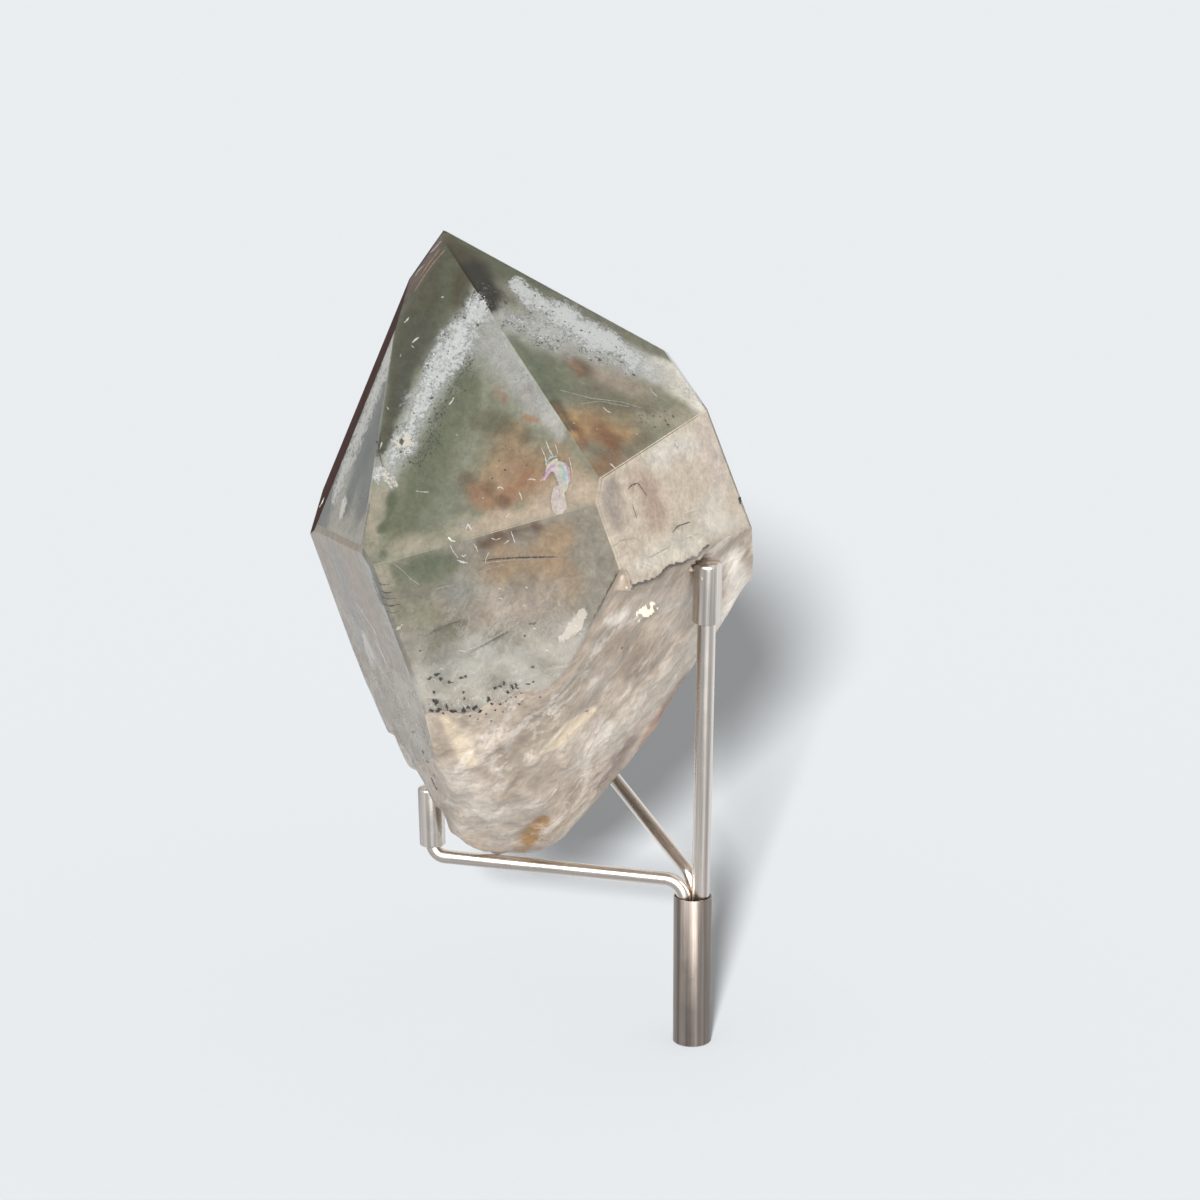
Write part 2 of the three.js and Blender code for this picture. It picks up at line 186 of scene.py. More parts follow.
# Marks under each face: layer, colour, strength, softness of the rim, raggedness in mm, and
# points (to the right, down the face from the tip, half width)
# [strokes]
STROKES = {
    "frontPoint": [
        ("core", "green", 0.95, 0.7, 1.2, [
            (468, 386, 10), (457, 412, 17), (440, 445, 19), (425, 478, 20), (410, 510, 20),
            (398, 538, 12)
        ]),
        ("core", "deep_green", 0.15, 0.8, 1.2, [(449, 425, 7), (430, 470, 8), (408, 512, 8)]),
        ("core", "green", 0.85, 0.9, 2.4, [(456, 374, 11), (470, 388, 10), (475, 402, 9)]),
        ("core", "blue_grey", 0.95, 0.7, 1.2, [
            (488, 312, 14), (502, 345, 24), (522, 378, 22), (546, 414, 14), (560, 438, 6)
        ]),
        ("core", "sage", 0.6, 0.8, 1.2, [(449, 352, 12), (436, 385, 12), (426, 410, 12)]),
        ("core", "tan", 0.95, 0.6, 2, [(512, 440, 16), (505, 470, 30), (535, 470, 26)]),
        ("core", "light_tan", 0.8, 0.7, 2, [(500, 468, 14), (498, 500, 16), (545, 490, 16)]),
        ("core", "brown_grey", 0.7, 0.9, 2.4, [(486, 418, 12), (503, 424, 10)]),
        ("core", "brown_grey", 0.6, 0.8, 1.5, [(525, 437, 8)]),
        ("core", "umber", 0.6, 0.9, 2.4, [(466, 478, 8), (472, 490, 8)]),
        ("core", "umber", 0.45, 0.9, 1.5, [(495, 450, 8)]),
        ("core", "rust", 0.62, 0.9, 2.4, [(477, 494, 9), (484, 503, 7)]),
        ("core", "rust", 0.85, 0.9, 2, [(527, 476, 11), (517, 488, 9), (508, 497, 8)]),
        ("core", "umber", 0.7, 0.9, 2.4, [(505, 503, 6)]),
        ("core", "umber", 0.5, 0.8, 1.5, [(489, 488, 5)]),
        ("core", "rust_orange", 0.75, 0.9, 1.2, [
            (524, 416, 2), (540, 422, 2.6), (552, 429, 2.2), (569, 438, 2)
        ]),
        ("core", "light_tan", 0.85, 0.8, 1.5, [(560, 455, 13), (578, 478, 12), (592, 496, 8)]),
        ("core", "pale_tan", 0.8, 0.8, 1.5, [(510, 520, 9), (535, 512, 8)]),
        ("core", "pearl", 0.8, 0.8, 1, [(552, 418, 10), (562, 434, 5)]),
        ("core", "rust", 0.5, 0.9, 1, [(497, 391, 6), (506, 399, 5)]),
        ("core", "rust", 0.5, 0.9, 1, [(528, 391, 4)]),
        ("core", "pale_tan", 0.9, 0.8, 1.5, [(545, 508, 14), (572, 488, 16), (588, 490, 10)]),
        ("core", "pale_tan", 0.8, 0.8, 1.5, [(500, 521, 9), (470, 531, 9)]),
        ("core", "pale_olive", 0.85, 0.7, 1.2, [(395, 549, 8), (430, 541, 9), (458, 528, 9)]),
        ("core", "pale_olive", 0.85, 0.7, 1.2, [(380, 495, 9), (374, 522, 11), (372, 548, 8)]),
        ("core", "sage", 0.7, 0.8, 1.5, [(452, 500, 12), (435, 525, 12)]),
        ("core", "deep_green", 0.9, 0.6, 1.6, [(393, 498, 5), (390, 512, 6), (384, 529, 4)]),
        ("core", "deep_green", 0.8, 0.7, 1.2, [(373, 543, 4), (370, 547, 3)]),
        ("core", "deep_green", 0.7, 0.7, 1.2, [(384, 553, 4)]),
        ("core", "band_white", 0.75, 0.9, 1.5, [
            (486, 292, 8), (471, 315, 12), (456, 340, 14), (441, 366, 14), (427, 392, 13),
            (413, 418, 13), (400, 445, 12), (389, 470, 10)
        ]),
        # Dark band down from the tip along the left: olive colour deepened with painted shade, for the dark that
        # clear quartz shows near its edges
        ("core", "olive_and_painted_shade", 0.97, 0.5, 1.2, [
            (448, 252, 26), (432, 296, 26), (414, 340, 20), (400, 382, 13), (389, 425, 9), (381, 447, 6)
        ]),
        ("core", "olive", 0.75, 0.8, 1.2, [(452, 272, 12), (449, 298, 9), (441, 318, 7)]),
        ("core", "brown_olive", 0.7, 0.8, 1, [(463, 280, 8), (458, 304, 7)]),
        ("core", "slate_dark", 0.7, 0.8, 1.2, [(420, 330, 10), (411, 358, 9), (398, 398, 7)]),
        ("veil", "white", 0.76, 0.9, 2.2, [
            (484, 296, 6), (471, 315, 12), (456, 340, 15), (441, 366, 16), (427, 392, 14),
            (415, 417, 11), (402, 444, 12), (389, 471, 10)
        ]),
        ("veil", "white", 0.55, 0.9, 2, [(500, 300, 5), (478, 330, 16), (460, 352, 14)]),
        ("veil", "white", 0.4, 0.9, 1.8, [(486, 312, 10), (498, 332, 10)]),
        ("veil", "pearl", 0.34, 0.9, 1, [(492, 318, 12), (500, 350, 22), (514, 374, 18), (536, 400, 10)]),
        ("veil", "cream", 0.72, 0.6, 2.2, [(383, 466, 5), (388, 476, 7), (397, 486, 6)]),
        ("veil", "white", 0.8, 0.5, 1.5, [(379, 470, 3), (378, 486, 3)]),
        ("veil", "cream", 0.85, 0.7, 1.5, [(406, 441, 5), (398, 444, 4)]),
        ("veil", "cream", 0.5, 0.8, 1.2, [(412, 415, 4)]),
        ("veil", "white", 0.45, 0.8, 1, [(465, 527, 6)]),
        ("speck", "dark", 0.55, 0.8, 1.8, [
            (480, 298, 12), (458, 335, 14), (430, 385, 15), (410, 430, 15), (395, 470, 12)
        ]),
        ("speck", "dark", 0.95, 0.8, 1.8, [
            (463, 360, 10), (449, 398, 10), (439, 420, 10), (428, 448, 9), (414, 474, 7)
        ]),
        ("speck", "dark", 0.8, 0.8, 1.5, [(472, 292, 6), (452, 326, 7), (433, 352, 6), (418, 384, 6)]),
        ("veil", "pink_white", 0.5, 0.9, 1, [(557, 472, 5), (556, 490, 6), (558, 502, 5)]),
        ("speck", "dark", 0.08, 0.8, 1.5, [(505, 460, 26)]),
    ],
    "rightPoint": [
        ("core", "olive_mid", 0.9, 0.8, 1.5, [(600, 398, 14), (640, 408, 14)]),
        ("core", "green", 0.95, 0.7, 1.8, [(520, 345, 10), (538, 360, 17), (556, 383, 15)]),
        ("core", "deep_green", 0.8, 0.7, 1.2, [(514, 338, 4), (538, 372, 7), (556, 403, 6)]),
        ("core", "amber", 0.75, 0.8, 2, [(562, 412, 6), (590, 428, 15), (625, 434, 14)]),
        ("core", "amber", 0.8, 0.8, 1.5, [(566, 418, 5), (578, 434, 8)]),
        ("core", "rust_dark", 0.8, 0.9, 2.8, [(605, 435, 12), (615, 446, 10)]),
        ("core", "rust_dark", 0.7, 0.9, 1.5, [(575, 425, 4), (586, 446, 6)]),
        ("core", "umber", 0.85, 0.9, 2.4, [(569, 355, 6), (584, 369, 7)]),
        ("core", "rust", 0.6, 0.9, 2, [(574, 362, 3), (580, 369, 3)]),
        ("core", "umber", 0.5, 0.9, 1.5, [(590, 370, 7)]),
        ("core", "umber", 0.85, 0.8, 1.5, [(622, 378, 5), (631, 386, 4)]),
        ("core", "umber", 0.7, 0.8, 1.5, [(601, 454, 8)]),
        ("core", "tan_brown", 0.95, 0.8, 1.2, [(597, 468, 12), (614, 460, 9)]),
        ("core", "olive_mid", 0.8, 0.8, 1.2, [(628, 450, 8), (650, 436, 8)]),
        ("core", "pinkish_grey", 0.8, 0.8, 1.8, [(604, 376, 8), (640, 392, 9)]),
        ("core", "bright_beige", 0.95, 0.7, 2, [(664, 364, 12), (684, 388, 12), (694, 404, 7)]),
        ("core", "pale_olive", 0.8, 0.8, 1.5, [(650, 420, 9), (690, 418, 8)]),
        ("core", "pearl", 0.95, 0.8, 1.8, [(507, 318, 10), (532, 331, 14), (560, 342, 12)]),
        ("core", "pearl", 0.9, 0.8, 1.8, [(560, 330, 14), (600, 347, 15), (640, 364, 13)]),
        ("core", "band_white", 0.85, 0.9, 1.8, [
            (520, 290, 7), (542, 306, 11), (570, 323, 12), (602, 340, 12), (630, 357, 11), (652, 371, 8)
        ]),
        ("core", "olive", 0.96, 0.5, 1, [(450, 240, 10), (500, 268, 12), (560, 299, 10)]),
        ("core", "olive_rim", 0.9, 0.6, 1, [(560, 299, 10), (620, 331, 8), (668, 357, 5)]),
        # Near-black patch at the tip: brown colour deepened with painted shade, for the dark of the clear tip
        ("core", "brown_and_painted_shade", 0.97, 0.5, 1.2, [
            (455, 253, 11), (470, 271, 17), (484, 290, 15), (490, 304, 9)
        ]),
        ("core", "brown_olive", 0.8, 0.8, 1.2, [(452, 244, 7), (466, 254, 7)]),
        ("core", "brown_olive", 0.75, 0.7, 1, [(556, 402, 4), (572, 428, 4)]),
        ("veil", "white", 0.9, 0.9, 2.2, [
            (518, 287, 7), (542, 304, 12), (570, 321, 14), (602, 339, 14), (628, 355, 11)
        ]),
        ("veil", "white", 0.4, 0.9, 2.4, [(636, 360, 10), (652, 371, 8)]),
        ("veil", "white", 0.45, 0.8, 2, [(580, 345, 8), (606, 358, 8)]),
        ("veil", "pearl", 0.78, 0.9, 1.8, [(512, 318, 8), (534, 328, 12), (556, 336, 11)]),
        ("veil", "cream", 0.55, 0.9, 1.8, [(665, 370, 10), (686, 392, 8)]),
        ("speck", "dark", 0.7, 0.8, 1.8, [(508, 302, 12), (545, 320, 15), (585, 340, 13), (625, 358, 10)]),
        ("speck", "dark", 0.9, 0.8, 1.5, [(510, 318, 8), (530, 335, 10), (552, 346, 8)]),
        ("speck", "dark", 0.35, 0.8, 1.5, [(660, 420, 14)]),
    ],
    "rightSide": [
        ("core", "pink_white", 0.9, 0.8, 1.8, [(704, 438, 12), (722, 480, 12)]),
        ("core", "milk_green", 0.85, 0.8, 1.8, [(655, 456, 14), (690, 442, 12)]),
        ("core", "milk_green", 0.7, 0.8, 1.8, [(704, 518, 10), (720, 500, 8)]),
        ("core", "grey_mauve", 0.68, 0.95, 2.4, [(610, 494, 9), (617, 520, 8)]),
        ("core", "dusty_pink", 0.75, 0.9, 2, [(650, 490, 9), (656, 512, 9)]),
        ("core", "dusty_pink", 0.4, 0.9, 1.8, [(632, 478, 8)]),
        ("core", "bright_beige", 0.6, 0.8, 1.8, [(636, 566, 10), (680, 549, 12), (728, 520, 9)]),
        # Two bright white dabs are painted glints, under glint slivers at the same spots
        ("veil", "painted_glint_white", 0.85, 0.6, 1.6, [(688, 511, 4), (693, 513, 3)]),
        ("veil", "painted_glint_white", 0.75, 0.8, 1.6, [(677, 444, 4)]),
    ],
    "frontSide": [
        ("core", "green", 0.95, 0.75, 1.8, [(400, 573, 13), (428, 570, 20), (450, 559, 10)]),
        ("core", "deep_green", 0.6, 0.8, 1.2, [(414, 566, 8), (432, 558, 8)]),
        ("core", "deep_green", 0.5, 0.8, 1.2, [(404, 592, 5), (420, 597, 4)]),
        ("core", "pale_olive", 0.9, 0.7, 1.2, [(380, 573, 9), (388, 583, 6)]),
        ("core", "olive_light", 0.85, 0.8, 1.8, [(400, 612, 16), (436, 612, 12)]),
        ("core", "olive_streak", 0.7, 0.8, 1.5, [(430, 648, 9), (450, 634, 7), (465, 624, 4)]),
        ("core", "umber", 0.9, 0.8, 1.5, [(481, 546, 7), (500, 537, 6)]),
        ("core", "umber", 0.8, 0.8, 1.5, [(512, 532, 7), (534, 526, 6)]),
        ("core", "light_tan", 0.9, 0.8, 2.4, [(503, 567, 16), (545, 562, 18), (562, 540, 12)]),
        ("core", "umber", 0.3, 0.9, 1.5, [(530, 575, 8)]),
        ("core", "light_tan", 0.6, 0.8, 1.8, [(560, 560, 14), (570, 590, 12)]),
        ("core", "ash", 0.75, 0.8, 1.8, [(456, 592, 12), (474, 600, 12)]),
        ("core", "pinkish_grey", 0.85, 0.8, 2, [(490, 612, 16), (545, 605, 22)]),
        ("core", "ash", 0.7, 0.8, 2, [(440, 672, 16), (480, 660, 18), (520, 660, 18)]),
        ("core", "milk", 0.7, 0.8, 2, [(520, 640, 12), (555, 640, 16)]),
        ("veil", "white", 0.3, 0.9, 2, [(520, 606, 18), (560, 600, 16), (545, 630, 16)]),
        ("veil", "cream", 0.3, 0.9, 2, [(455, 655, 12), (500, 640, 20)]),
        ("veil", "cream", 0.5, 0.9, 1.8, [(436, 698, 8), (470, 702, 9), (510, 694, 9)]),
        ("veil", "cream", 0.92, 0.45, 0.9, [(583, 611, 4), (577, 626, 8), (562, 640, 5)]),
        ("veil", "cream", 0.9, 0.5, 1, [(396, 630, 4), (402, 624, 2)]),
        ("veil", "gold", 0.9, 0.5, 1, [(390, 622, 3)]),
    ],
    "leftPoint": [
        ("core", "left_low", 0.95, 0.8, 1.5, [
            (345, 497, 9), (338, 522, 13), (352, 545, 16), (368, 528, 8)
        ]),
        # Dark green band along the edge: green colour deepened with painted shade, in place of darker reflections
        # on this face
        ("core", "left_green_and_painted_shade", 0.9, 0.8, 1, [(392, 388, 4), (376, 432, 5), (359, 470, 5), (345, 508, 4)]),
        ("core", "rust", 0.5, 0.8, 0.8, [(369, 512, 2), (364, 542, 2)]),
        ("veil", "left_white", 0.75, 0.8, 1.2, [
            (397, 326, 4), (388, 357, 6), (378, 386, 7), (367, 412, 7), (356, 441, 7), (345, 468, 6),
            (335, 496, 5)
        ]),
        ("veil", "cream", 0.8, 0.6, 1, [(343, 505, 3), (341, 516, 3)]),
        ("speck", "dark", 0.5, 0.8, 1.5, [(384, 388, 6), (355, 450, 6)]),
    ],
    "leftSide": [
        ("core", "rose_grey", 0.9, 0.8, 1.2, [(350, 575, 7), (366, 612, 7), (389, 665, 7)]),
        ("core", "ash", 0.97, 0.5, 1, [
            (366, 556, 5), (370, 568, 5), (387, 610, 5), (410, 665, 5), (420, 698, 5)
        ]),
        ("core", "shade_grey", 0.6, 0.8, 1.2, [(338, 562, 5), (350, 600, 5), (362, 640, 5)]),
        ("core", "warm_edge", 0.7, 0.8, 1, [(322, 550, 3), (336, 605, 4), (356, 665, 4), (375, 700, 4)]),
        ("veil", "cream", 0.8, 0.7, 1, [(366, 642, 3), (370, 655, 4), (373, 666, 3)]),
        ("veil", "cream", 0.3, 0.9, 1.2, [(340, 570, 3), (352, 592, 3), (375, 640, 3.5), (388, 672, 3)]),
    ],
}
# [end of strokes]

# Marks and ledges of the broken end, as (across, height, half width): colour, strength,
# softness, raggedness; lift in mm, softness, raggedness; dark flecks (across, height, half
# width, half height)
# [root marks]
ROOT_STROKES = [
    ("root_brown", 0.65, 0.8, 1.5, [(612, 640, 12), (640, 655, 18), (628, 672, 14)]),
    ("root_bright", 0.8, 0.45, 0.9, [(612, 620, 7), (623, 616, 6)]),
    ("root_cream", 0.7, 0.5, 0.8, [(580, 611, 5), (575, 628, 6), (564, 638, 4)]),
    ("root_green", 0.55, 0.8, 1.5, [(512, 765, 10), (540, 728, 11), (566, 700, 10), (590, 672, 9)]),
    ("root_bright", 0.38, 0.6, 1.4, [(598, 732, 13), (586, 752, 13), (578, 768, 7)]),
    ("root_cream", 0.97, 0.35, 0.8, [(591, 711, 5), (574, 725, 9), (558, 741, 9), (545, 752, 4)]),
    ("root_cream", 0.8, 0.6, 1, [(443, 718, 4), (452, 731, 7), (464, 748, 9), (470, 760, 7)]),
    ("root_gold", 0.85, 0.6, 1, [(542, 822, 6), (530, 838, 9), (520, 850, 7)]),
    ("root_tan", 0.8, 0.7, 1, [(590, 792, 9), (572, 820, 10), (560, 845, 9)]),
    ("root_tan", 0.6, 0.7, 1, [(466, 838, 6), (480, 850, 6)]),
    ("root_mauve", 0.75, 0.8, 1.2, [(596, 785, 7), (616, 762, 7), (632, 740, 6)]),
    ("root_red", 0.8, 0.7, 1, [(640, 748, 4), (655, 724, 4), (672, 700, 4), (688, 676, 3)]),
    ("root_white", 0.6, 0.8, 1.8, [(700, 640, 12), (668, 672, 14), (636, 712, 16), (608, 745, 12)]),
    ("root_white", 0.6, 0.8, 1.8, [(450, 775, 14), (478, 800, 18), (500, 815, 12)]),
    ("root_white", 0.5, 0.8, 1.5, [(640, 605, 10), (680, 590, 12)]),
    ("root_green", 0.45, 0.8, 1.5, [(505, 772, 8), (540, 782, 9)]),
    ("root_white", 0.8, 0.8, 1.8, [(700, 596, 12), (672, 606, 10)]),
    ("root_bright", 0.9, 0.8, 1.8, [(732, 560, 10), (741, 585, 12), (728, 625, 10)]),
    ("root_white", 0.5, 0.8, 1.5, [(495, 845, 9), (520, 846, 6)]),
    ("root_tan", 0.4, 0.8, 1.5, [(420, 740, 8), (432, 770, 6)]),
]
LEDGES = [
    (0.9, 0.25, 0.6, [(588, 722, 10), (574, 742, 13), (572, 762, 10)]),
    (0.7, 0.3, 0.8, [(575, 622, 10), (566, 634, 7)]),
    (0.3, 0.4, 0.6, [(620, 616, 9)]),
    (-0.7, 0.7, 0.8, [(512, 765, 9), (540, 728, 10), (566, 700, 9), (592, 672, 8)]),
    (0.7, 0.4, 0.6, [(640, 700, 8), (612, 738, 8)]),
    (0.6, 0.3, 0.8, [(500, 742, 8), (476, 758, 9), (452, 768, 8)]),
    (-0.6, 0.4, 0.8, [(545, 790, 10), (520, 776, 9)]),
    (0.8, 0.3, 0.6, [(690, 640, 6), (662, 672, 7), (640, 690, 5)]),
    (0.7, 0.3, 0.8, [(480, 805, 12), (510, 822, 9)]),
    (-0.8, 0.4, 0.6, [(530, 838, 9), (540, 822, 6)]),
    (0.6, 0.3, 0.8, [(668, 600, 10), (650, 612, 8)]),
]
FLECKS = [
    (436, 703, 3, 5), (434, 692, 2, 4), (439, 710, 3, 2), (431, 710, 2, 2), (437, 675, 3, 2),
    (441, 679, 2, 2), (430, 679, 2, 2), (450, 682, 3, 1.5), (461, 678, 3, 1.5), (466, 676, 2, 1.5),
    (447, 707, 2.5, 3), (453, 712, 3, 2), (443, 713, 2, 1.5), (464, 710, 2, 3), (468, 707, 2, 2),
    (475, 708, 2.5, 3), (480, 711, 2.5, 2), (464, 692, 2, 1.5), (464, 699, 1, 2.5), (489, 699, 2, 3),
    (492, 704, 2, 2), (495, 688, 1.5, 2), (500, 686, 2, 1.5), (504, 683, 1.5, 2), (508, 692, 2, 1.5),
    (512, 687, 2, 2.5), (516, 685, 1.5, 2), (521, 693, 1.5, 1), (517, 688, 2, 1.2), (500, 704, 1.5, 1.5),
    (506, 701, 1.2, 1.5), (511, 697, 1, 1), (516, 697, 1.5, 1.5), (519, 704, 1.2, 1), (522, 701, 1.2, 1),
    (528, 684, 2, 1), (533, 682, 1.2, 1.2), (503, 712, 1, 1), (495, 710, 1.2, 1.5), (486, 714, 1.2, 1),
    (478, 719, 1, 1), (470, 716, 1, 1), (491, 721, 1, 0.8), (511, 709, 0.9, 0.9), (540, 697, 1, 1),
    (413, 732, 2, 1.2), (423, 752, 2, 2), (428, 762, 2, 2.5), (433, 782, 1.5, 4), (436, 788, 2, 1.5),
    (434, 775, 1.5, 1.2), (587, 711, 3, 1), (530, 624, 1.5, 1), (525, 636, 1.5, 1), (533, 667, 1.5, 1.2),
    (622, 648, 1.2, 1.2), (533, 624, 1, 1), (739.8, 499.6, 2, 3.5), (420, 651, 1, 1), (535, 623, 1, 1),
    (505, 470, 1, 0.8),
]
# [end of root marks]

